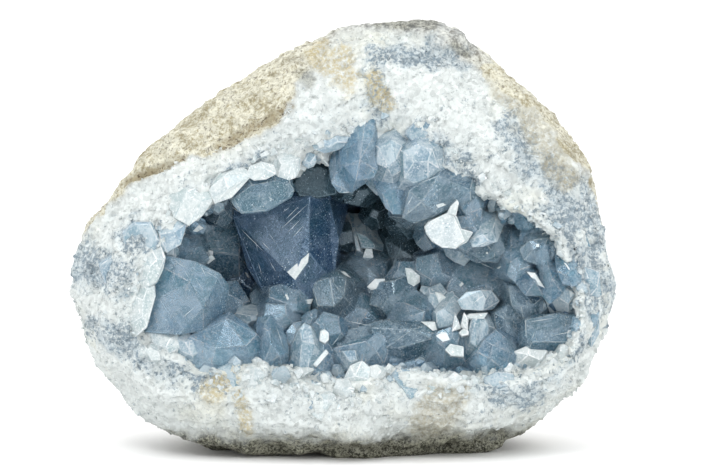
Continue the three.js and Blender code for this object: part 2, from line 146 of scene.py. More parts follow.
# Each crystal: finish, depth (y) of the middle of its front, how fast its depth grows to the right and
# upwards, crown (share of the front that is lifted, and how far), the way its root goes, and the front's
# corners as (column, row) or (column, row, y).
LARGE_CRYSTALS = [
    (DEEP, 0, (0, 0), None, (4, 30, 12), [(233, 218, -18), (310, 198, -28), (309, 253, -30),
        (286, 272, -27.5), (295, 280, -31.4), (304, 302, -27), (288, 306, -24.5), (266, 299, -20.5),
        (257, 281, -19), (247, 268, -17), (329, 199, -19), (339, 240, -18), (334, 283, -20),
        (331, 294, -20), (240, 190, -11), (300, 186, -19)]),
    (CLEAR, 0, (0, 0), None, (-8, 26, -5), [(165, 255, -42), (196, 261, -47), (220, 273, -46),
        (230, 286, -42), (225, 313, -42), (203, 331, -48), (180, 335, -50), (145, 333, -46),
        (147, 304, -46), (159, 265, -43), (190, 282, -52), (203, 308, -54)]),
    (CLOUDY, -48, (-0.3, 0.1), (0.9, 1), (-6, 8, 0), [(150, 266), (158, 258), (166, 257), (163, 270),
        (157, 283), (149, 288), (146, 280)]),
    (CLOUDY, -49, (-0.2, 0.2), (0.9, 1), (-6, 8, 0), [(147, 288), (155, 286), (156, 296), (152, 312),
        (147, 328), (142, 318), (143, 300)]),
    (MURKY, -6, (0.35, -0.1), (0.8, 3), (-4, 16, 4), [(187, 249), (202, 228), (216, 214), (246, 203),
        (240, 232), (249, 268), (240, 292), (226, 282), (209, 262)]),
    (DEEP, -4, (0.2, 0.1), (0.8, 2), (-4, 16, -2), [(224, 280), (243, 262), (257, 280), (266, 300),
        (262, 316), (238, 309), (228, 296)]),
    (SLATE, -39, (0, 0.3), (0.9, 0.8), (-4, 12, 9), [(231, 199), (234, 207), (242, 214.5), (268, 212),
        (292, 198), (295, 191), (290, 183.5), (277, 179.5), (251, 184.5), (238, 193)]),
    (CLOUDY, -46, (-0.1, 0.2), (0.8, 1.5), (-2, 12, -7), [(149, 331), (164, 332), (178, 335), (183, 346),
        (168, 354), (154, 347)]),
    (MILKY, -47, (0, 0.2), (0.8, 1.5), (0, 12, -7), [(176, 338), (187, 333), (200, 338), (205, 350),
        (192, 356), (180, 351)]),
    (CLOUDY, -47, (0, 0.2), (0.8, 1.5), (0, 12, -7), [(203, 346), (216, 347), (230, 348), (236, 356),
        (222, 362), (207, 358)]),
    (CLEAR, -47, (0, 0.5), (0.8, 2.5), (0, 12, -14), [(188, 337), (203, 326), (214, 318), (230, 311.5),
        (240, 319), (257, 334), (246, 346), (215, 348)]),
    (CLEAR, 0, (0, 0), None, (0, 12, -14), [(257, 317, -42), (271, 314, -43), (278, 321, -42),
        (287, 337, -42), (289, 352, -46), (262, 366, -48), (254, 347, -44), (264, 325, -48),
        (271, 345, -52), (280, 356, -51)]),
    (CLEAR, -40, (0.2, 0.3), (0.8, 2), (3, 12, -10), [(286, 332), (292, 323), (301, 321), (303, 345),
        (296, 350), (288, 344)]),
    (MILKY, -46, (0.1, 0.2), (0.7, 2), (0, 10, -10), [(299, 329), (304, 323), (311, 326), (315, 347),
        (314, 360), (308, 372), (299, 367), (297, 350)]),
    # The next two frosted plates are painted highlights: near-white faces where crystals catch the light.
    (FROSTED, -44, (0, 0.5), (0.9, 0.6), (0, 4, -1), [(320, 331), (324, 329), (329, 333), (329, 340),
        (325, 344), (319, 341)]),
    (FROSTED, -45, (0, 0.5), (0.9, 0.6), (0, 4, -1), [(319, 358), (326, 349), (329, 353), (322, 362),
        (316, 368), (312, 365)]),
    (CLEAR, -41, (0.2, 0.5), (0.85, 2), (0, 12, -10), [(303, 330), (316, 324), (332, 330), (334, 352),
        (324, 372), (312, 374), (306, 352)]),
    (SLATE, -34, (0, 0.7), (0.9, 1), (0, 14, -12), [(331, 345), (340, 332), (352, 328), (377, 330),
        (386, 319), (381, 335), (357, 347), (335, 348)]),
    (CLEAR, -40, (0.1, 0.3), (0.86, 2), (0, 14, -10), [(333, 348), (357, 345), (378, 331), (388, 338),
        (388, 353), (384, 364), (363, 366), (343, 362)]),
    (CLEAR, 0, (0, 0), None, (0, 16, -12), [(386, 319, -24), (395, 303, -24), (406, 292, -22),
        (415, 289, -20), (429, 296, -24), (436, 306, -26), (437, 322, -30), (421, 326, -34),
        (399, 328, -33), (405, 303, -29), (425, 312, -34), (410, 316, -34)]),
    (SLATE, -37, (0, 0.5), (0.88, 1.5), (0, 14, -10), [(371, 328), (386, 320), (400, 324), (436, 322),
        (438, 334), (432, 339), (406, 344), (399, 348), (386, 348), (376, 340)]),
    (MILKY, -44, (0, 0.4), None, (0, 8, -6), [(342, 351), (350, 353), (355, 350), (357, 360), (350, 362)]),
    (MILKY, -6, (0, 0.5), (0.9, 0.5), (0, 10, 2), [(353, 233), (357, 237), (361, 252), (356, 250)]),
    (MILKY, -4, (0.2, 0.4), (0.9, 0.6), (0, 10, 2), [(356, 232), (366, 236), (376, 246), (374, 249),
        (361, 248)]),
    (MILKY, -31, (0, 0.5), (0.9, 0.6), (0, 8, -3), [(434, 312), (444, 312), (442, 318), (437, 319)]),
    (CLEAR, -22, (0, 0.3), (0.86, 3), (6, 20, 4), [(446, 292), (452, 272), (466, 262), (490, 264),
        (502, 275), (504, 292), (492, 302), (455, 302)]),
    (MILKY, 0, (0, 0), None, (2, 26, 0), [(457, 301, -36), (466, 292, -35), (481, 290, -35.5),
        (486, 300, -37), (483, 311, -37.5), (462, 310, -37), (492, 291, -32), (500, 301, -30),
        (493, 310, -32)]),
    (MILKY, -40, (0.15, 0.2), (0.8, 2.5), (0, 16, -8), [(470, 328), (472, 319), (478, 315.5), (485, 318),
        (489, 326), (488, 336), (477, 347), (470, 342)]),
    (FROSTED, -41, (0.1, 0.2), (0.5, 1), (0, 4, -1), [(452, 332), (455, 312.5), (459, 322), (461, 329)]),
    (FROSTED, -40, (-0.1, 0.2), (0.5, 1), (0, 4, -1), [(460, 327), (464, 312), (469, 318), (468, 332)]),
    # The next two frosted plates are painted highlights as well.
    (FROSTED, -46, (0, 0.6), (0.95, 0.5), (0, 4, -1), [(445, 350), (450, 344), (464, 347), (464, 357),
        (456, 355), (451, 356)]),
    (FROSTED, -44, (0, 0.6), (0.9, 0.5), (0, 4, -1), [(458.5, 333), (463, 329), (469, 331), (469, 335),
        (462, 336.5)]),
    (CLEAR, -44, (0.1, 0.15), (0.85, 2.5), (2, 14, -10), [(477, 352), (484, 340), (496, 330), (506, 338),
        (510, 352), (507, 372), (497, 379), (484, 369)]),
    (CLEAR, -41, (-0.1, 0.3), (0.8, 2), (0, 12, -10), [(436, 332), (452, 326), (460, 334), (458, 346),
        (446, 349), (437, 342)]),
    (CLEAR, 0, (0, 0), None, (4, 20, 4), [(526, 272, -38), (536, 273, -37), (541, 285, -40),
        (546, 289, -38), (544, 297, -39), (525, 296, -40), (515, 283, -36), (535, 281, -43)]),
    (CLEAR, -34, (-0.1, 0.3), (0.8, 2.5), (2, 16, 6), [(505, 258), (514, 249), (527, 251), (531, 266),
        (525, 275), (515, 283), (507, 276)]),
    (CLEAR, 0, (0, 0), None, (8, 18, 6), [(538, 266, -36), (547, 260, -37), (560, 273, -40),
        (568, 285, -40), (563, 293, -41), (550, 305, -40), (542, 297, -39), (552, 279, -45)]),
    (CLEAR, -43, (0.1, 0.3), (0.8, 2), (8, 12, 6), [(556, 270), (567, 262), (580, 267), (582, 282),
        (573, 287), (562, 284)]),
    (SLATE, -33, (0.1, 0.1), (0.85, 2.5), (4, 16, -4), [(508, 286), (518, 285), (527, 294), (542, 298),
        (549, 306), (538, 318), (524, 320), (512, 306)]),
    (SLATE, -40, (0.05, 0.45), (0.9, 1.5), (6, 14, -8), [(522, 320), (534, 315), (556, 313), (572, 318),
        (587, 316), (587, 332), (579, 345), (560, 343), (545, 337), (531, 345), (523, 339)]),
    (SLATE, -34, (0.2, 0.2), (0.85, 2), (2, 16, -8), [(494, 313), (508, 304), (522, 318), (521, 341),
        (508, 346), (497, 331)]),
    (SLATE, -30, (0, -0.2), (0.85, 2), (4, 16, 8), [(462, 248), (480, 236), (500, 236), (507, 252),
        (498, 263), (476, 263), (464, 257)]),
    (SLATE, -36, (0, 0), (0.8, 2), (4, 14, 10), [(519, 250), (530, 240), (548, 238), (557, 248), (553, 261),
        (536, 265), (524, 261)]),
    (PAINTED_SHADE, 0, (0.1, 0.3), (0.8, 3), (0, 20, 4), [(385, 240), (400, 225), (425, 226), (441, 245),
        (436, 270), (410, 279), (392, 267)]),
    (CLEAR, -6, (-0.2, 0.3), (0.8, 3), (0, 20, -2), [(343, 264), (360, 252), (386, 262), (390, 290),
        (370, 305), (347, 300)]),
    (SLATE, -25, (0.1, 0.4), (0.8, 2), (0, 22, -10), [(311, 283), (322, 274), (336, 270), (346, 280),
        (344, 296), (334, 307), (318, 306)]),
    (CLEAR, -18, (0.1, 0.6), (0.8, 2), (0, 18, -8), [(338, 302), (360, 292), (383, 300), (379, 322),
        (356, 329), (335, 326)]),
    (SLATE, -12, (0.1, 0.3), (0.8, 3), (3, 20, 2), [(436, 252), (455, 244), (464, 262), (456, 286),
        (438, 286)]),
    (CLEAR, 0, (0, 0), None, (2, 14, 14), [(336, 164, -34), (339, 155, -34), (350, 141, -36),
        (373, 138, -38), (378, 171, -40), (374, 178, -40), (360, 160, -46), (344, 166, -42),
        (356, 181, -45), (352, 193, -38), (339, 193, -33), (331, 184, -32)]),
    (CLEAR, -37, (-0.2, 0), (0.7, 2), (0, 12, 10), [(331, 184), (336, 172), (345, 170), (352, 181),
        (350, 193), (339, 193.5)]),
    (CLEAR, -33, (-0.1, 0.1), (0.85, 2), (0, 14, 14), [(374, 187), (381, 176), (402, 174), (405, 190),
        (402, 215), (393, 215), (385, 208), (380, 198)]),
    (PAINTED_SHADE, -24, (0.1, 0.2), (0.9, 1), (0, 14, 12), [(291, 184), (302, 168), (320, 166), (336, 174),
        (338, 195), (318, 199), (298, 197)]),
    (MILKY, -37, (0.2, 0.3), (0.85, 1.5), (2, 14, 8), [(470, 240), (480, 229), (492, 232), (498, 242),
        (484, 247), (472, 248)]),
    (CLEAR, -34, (0.1, -0.2), (0.85, 2), (2, 14, 8), [(452, 196), (462, 186), (474, 192), (482, 208),
        (482, 226), (470, 230), (460, 214)]),
    (MILKY, -39, (0, -0.2), (0.8, 2.5), (0, 12, -3), [(375, 163), (379, 148), (392, 140), (402, 146),
        (403, 170), (392, 176.5), (384, 172)]),
    (MILKY, -41, (0.1, -0.2), (0.78, 3), (2, 12, -3), [(403, 152), (417, 144), (432, 149), (438.5, 168),
        (428, 178), (414, 183), (404, 178)]),
    (SLATE, -37, (0.05, -0.3), (0.86, 2.5), (4, 16, 4), [(402, 218), (404, 206), (409, 191), (422, 182),
        (438, 176), (453, 181), (470, 190), (471, 201), (456, 208), (442, 213), (425, 223), (414, 223.5)]),
    (FROSTED, -42, (0, 0.1), (0.94, 1), (0, 10, 0), [(424, 227), (429, 221), (441, 217), (452, 210),
        (457, 217), (462, 228), (466, 241), (456, 249), (442, 248), (432, 242), (426, 234)]),
    (FROSTED, -43, (0, 0.1), None, (0, 6, 0), [(447, 213), (450, 207), (457, 200), (459, 203), (456, 216)]),
    (FROSTED, -41, (0.5, 0.1), (0.9, 1), (0, 8, 0), [(459, 228), (463, 229), (473, 232), (466, 243),
        (460, 246)]),
    (CLEAR, -40, (0.2, 0.1), (0.8, 2), (6, 8, 0), [(585, 311), (594, 304), (600, 312), (598, 326),
        (589, 329)]),
]

# Milky lumps of the rim, laid out like the large crystals: how blue, how far they stand out of the rock, how
# fast their depth grows to the right and upwards, crown, the way the root goes, and corners.
RIM_LUMPS = [
    (0.9, 0.3, (0, 0.2), (0.9, 1), (0, 12, 4), [(404, 134), (414, 121), (428, 117), (440, 134), (434, 149),
        (416, 149)]),
    (0.5, 1.2, (-0.15, 0.3), (0.72, 3), (-4, 16, 4), [(150, 214), (165, 204), (180, 208), (188, 222),
        (181, 245), (167, 253.5), (161, 251), (156, 237)]),
    (0.2, 1.2, (-0.1, 0.35), (0.86, 2), (-3, 16, 3), [(164, 196), (184, 180), (208, 182), (216, 197),
        (203, 216), (189, 226), (174, 218)]),
    (0.4, 5.0, (0, 0.35), (0.8, 2), (-2, 16, 3), [(208, 190), (220, 172), (241, 166), (254, 174),
        (246, 183), (232, 198), (215, 204)]),
    (0.3, 5.0, (0, 0.3), (0.8, 1.5), (0, 16, 3), [(246, 176), (250, 166), (261, 162), (274, 165),
        (277, 174), (266, 180), (254, 181)]),
    (0.2, 3.5, (0, 0.3), (0.7, 2), (0, 16, 3), [(270, 168), (276, 154), (290, 150), (301, 158),
        (300.5, 170), (296, 178), (288, 181), (278, 178)]),
    (0.6, 1.8, (0, 0.1), (0.5, 1.5), (0, 16, 3), [(301, 160), (304, 154), (310, 152), (316, 155),
        (317, 161), (314, 167), (308, 169), (302, 165)]),
    (0.9, 0.3, (-0.1, 0), (0.9, 1), (-3, 16, 1), [(122, 232), (135, 222), (152, 222), (160, 240),
        (154, 256), (138, 258), (124, 248)]),
    (0.9, 0.2, (-0.1, 0), (0.92, 1), (-3, 16, 1), [(98, 264), (114, 254), (140, 256), (152, 264),
        (151, 288), (128, 294), (104, 284)]),
    (0.5, 1.0, (0, 0.2), (0.75, 2), (0, 16, 3), [(310, 142), (322, 132), (338, 128), (352, 136), (350, 143),
        (340, 150), (325, 154), (314, 150)]),
    (0.3, 1.2, (0, -0.2), (0.65, 2), (0, 16, 0), [(343, 380), (350, 366), (362, 361), (371, 368),
        (376, 387), (366, 400), (350, 398)]),
    (0.1, 0.8, (0, -0.25), (0.85, 2), (0, 16, 0), [(386, 356), (400, 345), (420, 341), (440, 349),
        (446, 366), (434, 384), (404, 388), (386, 376)]),
    (0.2, 1.0, (0.1, 0.3), (0.7, 3), (2, 16, 3), [(478, 204), (486, 188), (502, 186), (512, 202),
        (506, 222), (496, 231), (483, 228)]),
    (0.9, 1.0, (0.1, 0.2), (0.75, 2), (2, 16, 3), [(497, 233), (508, 216), (522, 214), (526, 230),
        (513, 243), (500, 242)]),
    (0.9, 0.6, (0.1, 0.1), (0.8, 2), (4, 14, 2), [(553, 244), (566, 232), (586, 234), (592, 250),
        (584, 262), (562, 262)]),
    (0.8, 0.6, (0.1, 0), (0.85, 1.5), (2, 12, 0), [(574, 286), (584, 266), (600, 272), (602, 296),
        (584, 304)]),
    (0.2, 0.8, (0.1, 0), (0.8, 1.5), (2, 12, 0), [(586, 312), (600, 302), (603, 309), (600, 320),
        (588, 320)]),
    (0.9, 0.6, (0.1, -0.1), (0.85, 1.5), (2, 12, 0), [(586, 318), (600, 318), (600, 334), (592, 348),
        (584, 336)]),
    (0.5, 4.0, (-0.1, -0.1), (0.8, 2), (-2, 14, 0), [(144, 336), (160, 331), (180, 337), (184, 352),
        (166, 364), (148, 352)]),
    (0.3, 3.5, (0, -0.2), (0.7, 2), (0, 14, 0), [(176, 341), (192, 337), (208, 347), (208, 364), (190, 372),
        (174, 358)]),
    (0.7, 1.0, (0, -0.2), (0.8, 2), (0, 14, 0), [(204, 350), (220, 348), (236, 350), (240, 368), (218, 376),
        (202, 366)]),
    (0.4, 1.0, (0, -0.2), (0.8, 2), (0, 14, 0), [(236, 352), (250, 344), (264, 350), (268, 366), (250, 378),
        (236, 368)]),
    (0.6, 1.0, (0, -0.2), (0.8, 2), (0, 14, 0), [(484, 378), (498, 372), (514, 374), (518, 388), (500, 396),
        (484, 390)]),
    (0.3, 1.0, (0, -0.2), (0.8, 2), (0, 14, 0), [(514, 352), (530, 345), (548, 350), (552, 366), (534, 374),
        (514, 368)]),
]

# Painted highlights: bright white chips laid on the crystals where their faces catch the light, by their
# corners on the plan.
PAINTED_GLINTS = [
    [(405, 268), (411, 268.5), (420, 276), (420, 282), (414, 286.5), (408, 283)],
    [(367, 287), (375, 279), (385, 279), (384, 290), (371, 290)],
    [(362.5, 258), (366, 248), (372, 249), (373.5, 257), (367, 262.5)],
    [(435, 292), (441, 293), (447, 298), (446, 303), (439, 303)],
    [(193, 231), (199, 225), (203.5, 228), (197, 232)], [(206, 250), (213, 251), (213, 255), (208, 257)],
    [(204, 259), (212, 255), (215, 259), (208, 264)], [(309, 253), (308, 262), (295, 280), (287, 272)],
    [(322, 160), (324, 159), (330.5, 167), (325, 166)], [(436, 205), (443, 203), (446, 205), (438, 208)],
    [(421, 322), (435, 322), (437, 330), (433, 331), (427, 326)],
    [(436, 336), (442, 332), (447, 333), (450, 340), (443, 342)],
    [(463, 318), (470, 314), (480, 316), (488, 313), (484, 319), (470, 320)],
    [(527, 272), (535, 273), (545, 288), (538, 285)], [(569, 290), (574, 293), (571, 298)],
    [(459, 285), (462, 282), (464, 284), (461, 287)], [(486, 252), (488, 252), (488, 254), (486, 254)],
    [(497, 268), (501, 266), (502, 267), (498, 269)], [(536, 244), (539, 244), (539, 247), (536, 247)],
    [(564, 263), (566, 263), (571, 270), (569, 270)], [(245, 272), (247, 273), (249.5, 278), (247, 277)],
    [(338, 271), (345, 272), (351, 278), (344, 275)], [(305, 300), (313, 299), (311, 304), (306, 304)],
    [(285, 295), (287, 294), (289, 299), (287, 300)],
]

# Straight scratches on the crystals, and thin bright lines along some crystals' edges that are partly wear
# and partly painted highlight: from, to, and width, on the plan.
SCRATCHES = [
    ((241, 229), (264, 252), 0.7), ((258, 262), (262, 276), 0.4), ((268, 232), (278, 246), 0.4),
    ((281, 229), (309, 203), 0.6), ((286, 219), (299, 206), 0.5), ((291, 224), (311, 210), 0.5),
    ((297, 222), (309, 214), 0.6), ((300, 211), (307, 205), 0.4), ((283, 212), (290, 207), 0.4),
    ((275, 240), (282, 236), 0.3), ((237, 279), (247, 288), 0.5), ((330, 214), (340, 236), 0.5),
    ((209, 267), (230, 286), 0.7), ((198, 305), (212, 292), 0.5), ((205, 326), (216, 309), 0.5),
    ((407, 206), (413, 195), 0.8), ((452, 251), (458, 257), 0.5), ((480, 263), (494, 269), 0.6),
    ((519, 285), (527, 297), 0.5), ((551, 303), (560, 297), 0.7), ((560, 276), (566, 287), 0.5),
    ((346, 321), (372, 326), 0.5), ((366, 344), (384, 333), 0.5), ((332, 346), (341, 334), 0.5),
    ((232, 207), (242, 214), 0.8), ((242, 214), (268, 213), 0.7), ((332, 184), (340, 193), 0.6),
    ((340, 193), (352, 192), 0.6), ((288, 232), (300, 220), 0.4), ((294, 236), (304, 225), 0.4),
    ((262, 242), (270, 250), 0.5), ((270, 262), (276, 272), 0.4), ((255, 240), (258, 252), 0.3),
    ((176, 262), (186, 268), 0.5), ((214, 274), (224, 290), 0.5), ((182, 318), (196, 306), 0.5),
    ((160, 300), (170, 316), 0.4), ((212, 330), (230, 318), 0.5), ((230, 316), (246, 330), 0.5),
    ((265, 322), (272, 348), 0.5), ((276, 326), (284, 350), 0.4), ((418, 196), (434, 208), 0.5),
    ((410, 212), (426, 216), 0.5), ((362, 148), (372, 168), 0.5), ((530, 322), (556, 318), 0.5),
    ((552, 336), (580, 330), 0.5), ((418, 300), (430, 312), 0.5), ((190, 264), (197, 272), 0.4),
    ((201, 266), (206, 277), 0.4), ((206, 272), (216, 277), 0.5), ((212, 281), (226, 284), 0.5),
    ((206, 284), (214, 296), 0.4), ((216, 288), (221, 302), 0.5), ((196, 280), (203, 290), 0.4),
    ((184, 270), (190, 280), 0.3), ((172, 276), (178, 290), 0.3),
]

# Crystals scattered over a zone: spacing, (least and most) width, height over width, and spread of lean.
LINING_LAYERS = {
    "blocks": dict(
        spacing=9.5, width=(9, 15), height=(0.5, 1.3), lean=0.6, foremost=-28, margin=12, seed=11
    ),
    "prisms": dict(
        spacing=5.0, width=(4.5, 8), height=(0.4, 1.5), lean=0.7, foremost=-38, margin=9, seed=12
    ),
    "points": dict(
        spacing=2.8, width=(2.0, 4.0), height=(0.3, 1.3), lean=0.9, foremost=-60, margin=5, seed=13
    ),
}
EDGE_LAYERS = {
    "edge_blocks": dict(
        spacing=6.0, width=(4, 10), height=(-0.25, 0.2), lean=0.6, margin=5, seed=14, inward=0.5,
        upright=0.75, crystals=True, shares={CLEAR: 0.04, MILKY: 0.22, FROSTED: 0.1, CLOUDY: 0.64},
    ),
    "edge_sugar": dict(
        spacing=2.4, width=(1.6, 3.4), height=(-0.35, 0.1), lean=1.2, margin=3, seed=17, inward=0.15,
        crystals=False, shares={MILKY: 0.1, FROSTED: 0.26, CLOUDY: 0.64},
    ),
}
GRAINS = dict(spacing=1.35, width=(0.7, 1.4), height=(-0.42, 0.0), lean=1.2, seed=16)
# Crystals that fill the gaps between the large ones: spacing on the plan, and how far behind the fronts.
FILL_LAYERS = {
    "fill_blocks": dict(spacing=20, width=(12, 21), recess=2.5, lean=0.22, rows=(135, 375), seed=41),
    "fill_prisms": dict(spacing=14, width=(6, 10), recess=1.5, lean=0.25, rows=(240, 375), seed=42),
    "fill_points": dict(spacing=9, width=(4, 7.5), recess=4, lean=0.3, rows=(225, 370), seed=43),
}
FILL_COLUMNS, FILL_TRIES = (150, 600), 9000
DEEPEST_GAP = (366, 212, 52, 24)  # column, row, how wide on the plan, and how much deeper in mm
DUST = dict(spacing=0.95, width=(0.12, 0.42), thickness=0.5, seed=18)
HIDDEN_BEHIND = 14.0  # a filling crystal isn't made where one in front ends less than this behind its tip
ROOT_COVER = 2.0  # rock left between a scattered crystal's foot and the outside
EDGE_COVER = 4 * ROOT_COVER  # and between a large crystal's root and the nodule's sides

# Angles between a crystal's faces, in degrees.
SIDE_ANGLE = 52.1  # between a tabular face and the long side faces
BROAD_END_ANGLE = 38.0  # between the length and the two broad end faces
NARROW_END_ANGLE = 50.6  # between the length and the two narrow end faces
FLAT_CROWN = 0.88  # a crown over more than this share of the front is a raised flat, and others are ridges
RIDGE_TURN = 2.4  # radians from one crystal's ridge to the next one's
FLAT_EDGE = math.radians(14)  # faces that meet at less than this become one
SHARP_EDGE = math.radians(12)  # edges that turn by more than this are worn

# Crystals and grains to copy, one unit wide: how thick and how blunt each crystal is.
CRYSTAL_SHAPES = [(0.95, 0.1), (0.7, 0.5), (0.8, 0.9), (1.1, 0.4), (0.6, 0.0), (0.9, 0.7)]
GRAIN_SHAPES, GRAIN_CUTS = 6, 5

CRYSTAL_IOR = 1.62
NEIGHBOURS = list(itertools.product((-1, 0, 1), repeat=3))  # a cell of a grid and those round it


# ---- Maths ----
def around(values, angle):
    """A smooth closed curve's value at each angle, through values evenly spaced round the axis."""
    values = np.asarray(values, float)
    n = len(values)
    place = (np.asarray(angle) / (2 * math.pi) % 1) * n
    i = np.floor(place).astype(int)
    t = place - i
    a, b, c, d = (values[(i + k) % n] for k in (-1, 0, 1, 2))
    return b + 0.5 * t * (c - a + t * (2 * a - 5 * b + 4 * c - d + t * (3 * (b - c) + d - a)))


def smoothstep(value, low, high):
    t = np.clip((value - low) / (high - low), 0, 1)
    return t * t * (3 - 2 * t)


def each_noise(points, size, seed):
    """Smooth noise from about -1 to 1 at each point, with features of the given size in the points' unit."""
    shift = Vector((seed * 17.3, -seed * 9.1, seed * 5.7))
    return np.array([noise.noise(Vector(p) / size + shift) for p in points])


def each_chip(points, size, seed, tilt):
    """Flat chips of rock at each point: every cell of the given size has a height and a slope of its own."""
    shift = Vector((seed * 3.7, seed * 11.9, -seed * 7.3))
    half = Vector((0.5, 0.5, 0.5))
    heights = np.empty(len(points))
    for i, p in enumerate(points):
        place = Vector(p) / size + shift
        middle = noise.voronoi(place)[1][0]
        slope = noise.cell_vector(middle * 97.3)
        heights[i] = noise.cell(middle * 53.1) - 0.5 + tilt * (place - middle).dot(slope - half)
    return heights


def closeness(points, patches, wander):
    """How near each point's (x, z) is to any patch, from 0 outside to 1 inside, with a wandering edge."""
    flat = points[:, [0, 2]]
    best = np.zeros(len(points))
    for start, end, reach in patches:
        a, b = np.array(start, float), np.array(end, float)
        along = np.clip(((flat - a) @ (b - a)) / max((b - a) @ (b - a), 1e-9), 0, 1)
        off = np.linalg.norm(flat - (a + along[:, None] * (b - a)), axis=1)
        best = np.maximum(best, 1 - smoothstep(off / reach + wander, 0.6, 1.3))
    return best


def wandering(points):
    """How the edges of stains and patches wander at each point."""
    return 0.5 * each_noise(points, 5, 3) + 0.25 * each_noise(points, 2.2, 4)


def ridge_depth(angle):
    """The depth of the rim's foremost ridge at each angle."""
    return WIDEST_Y - FRONT_MIDDLE + FRONT_LEAN * np.sin(angle)


def zones(points, normals):
    """Where each point lies, by name.

    They are its angle and reach from the axis, its share of the way round to the front, how much it is in
    the hollow, and how far inwards of the foremost ridge it is.
    """
    dx, dz = points[:, 0] - AXIS_X, points[:, 2] - AXIS_Z
    angle, radius = np.arctan2(dz, dx), np.hypot(dx, dz)
    outline, mouth = around(OUTLINE_RADII, angle), around(MOUTH_RADII, angle)
    crest = mouth + CREST_SHARE * (outline - mouth)
    forward = np.clip((WIDEST_Y - points[:, 1]) / (WIDEST_Y - ridge_depth(angle)), 0, 1)
    outward = np.clip((radius - crest) / (outline - crest), 0, 1)
    share = np.arctan2(forward, outward) / (math.pi / 2)
    from_heart = points - HEART
    from_heart /= np.linalg.norm(from_heart, axis=1)[:, None]
    facing_in = -np.einsum("ij,ij->i", normals, from_heart)
    inside = smoothstep(facing_in, -0.1, 0.15) * smoothstep(crest - radius, -2, 2)
    inward = np.clip((crest - radius) / (crest - mouth), 0, 1)
    share = np.maximum(share, inside)
    return dict(angle=angle, reach=radius / outline, share=share, inside=inside, inward=inward)


# ---- The plan ----
def plan_place(column, row, y):
    """The point at a depth that the plan shows at a column and row."""
    middle_x, middle_y, middle_z = PLAN_MIDDLE
    nearness = (1 + (y - middle_y) / PLAN_DISTANCE) * PLAN_SQUARE
    x = middle_x + (column - PLAN_MIDDLE_SQUARE[0]) * nearness
    up = (PLAN_MIDDLE_SQUARE[1] - row) * nearness / math.cos(PLAN_ELEVATION)
    return np.array((x, y, middle_z + up - math.tan(PLAN_ELEVATION) * (y - middle_y)))


TO_CAMERA = np.array((0, -math.cos(PLAN_ELEVATION), math.sin(PLAN_ELEVATION)))
CAMERA_PLACE = np.array(PLAN_MIDDLE) + PLAN_DISTANCE * TO_CAMERA
FRONT_MIDDLES = np.array([np.mean([c[:2] for c in crystal[5]], axis=0) for crystal in LARGE_CRYSTALS])
FRONT_DEPTHS = [
    np.mean([c[2] if len(c) == 3 else crystal[1] for c in crystal[5]]) for crystal in LARGE_CRYSTALS
]


def ray_tree(name):
    """A piece's faces, for rays to meet."""
    return BVHTree.FromObject(bpy.data.objects[name], bpy.context.evaluated_depsgraph_get())


def seen_on_plan(tree, column, row):
    """The depth in millimetres of the first surface that the plan shows at a column and row, or None."""
    aim = plan_place(column, row, 0) - CAMERA_PLACE
    hit = tree.ray_cast(Vector(CAMERA_PLACE * MM), Vector(aim).normalized())[0]
    return hit and hit.y / MM


def gap_nearness(column, row):
    """How near a place on the plan is to the deepest gap's middle, from 0 outside to 1."""
    gap_column, gap_row, gap_width, _ = DEEPEST_GAP
    return max(0, 1 - math.hypot(column - gap_column, (row - gap_row) * 1.5) / gap_width)


def fronts_depth(column, row):
    """The depth of the large crystals' fronts round a place on the plan."""
    weights = 1 / (10 + np.sum((FRONT_MIDDLES - (column, row)) ** 2, axis=1)) ** 1.5
    return np.average(FRONT_DEPTHS, weights=weights) + DEEPEST_GAP[3] * gap_nearness(column, row)


# ---- Meshes ----
def select_nothing():
    if bpy.context.object and bpy.context.object.mode != "OBJECT":
        bpy.ops.object.mode_set(mode="OBJECT")
    bpy.ops.object.select_all(action="DESELECT")


def select_only(o):
    select_nothing()
    o.select_set(True)
    bpy.context.view_layer.objects.active = o


def edit_all(*steps):
    """Does mesh operations on the active object, each with its settings and with everything selected."""
    bpy.ops.object.mode_set(mode="EDIT")
    for operation, settings in steps:
        bpy.ops.mesh.select_all(action="SELECT")
        operation(**settings)
    bpy.ops.object.mode_set(mode="OBJECT")


def modify(o, kind, **settings):
    """Adds a modifier with these settings and applies it."""
    select_only(o)
    modifier = o.modifiers.new(kind.title(), kind)
    for name, value in settings.items():
        setattr(modifier, name, value)
    bpy.ops.object.modifier_apply(modifier=modifier.name)


def rows(collection, name, width=3, kind=np.float32):
    """What a mesh's vertices, normals, triangles or values hold under a name, a row for each."""
    values = np.empty(len(collection) * width, kind)
    collection.foreach_get(name, values)
    return values.reshape(-1, width)


def vertex_places(mesh):
    return rows(mesh.vertices, "co").astype(float)


def set_attribute(mesh, name, values, domain="POINT"):
    attribute = mesh.attributes.new(name, "FLOAT", domain)
    attribute.data.foreach_set("value", np.asarray(values, np.float32))


def new_object(name, mesh):
    made = bpy.data.objects.new(name, mesh)
    bpy.context.scene.collection.objects.link(made)
    return made


def thrown_away(*objects):
    for o in objects:
        mesh = o.data
        bpy.data.objects.remove(o)
        bpy.data.meshes.remove(mesh)


def seat(piece, slot, *nodes):
    """Puts a finished piece on the geode's body, in place of CAD nodes."""
    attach(piece, "root")
    if nodes:
        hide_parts(*nodes)


def worn_edges(o, width):
    """Cuts the edges off, and marks the cuts with the second of two empty material slots."""
    o.data.materials.append(None)
    o.data.materials.append(None)
    modify(o, "BEVEL", width=width, segments=1, limit_method="ANGLE", angle_limit=SHARP_EDGE, material=1)


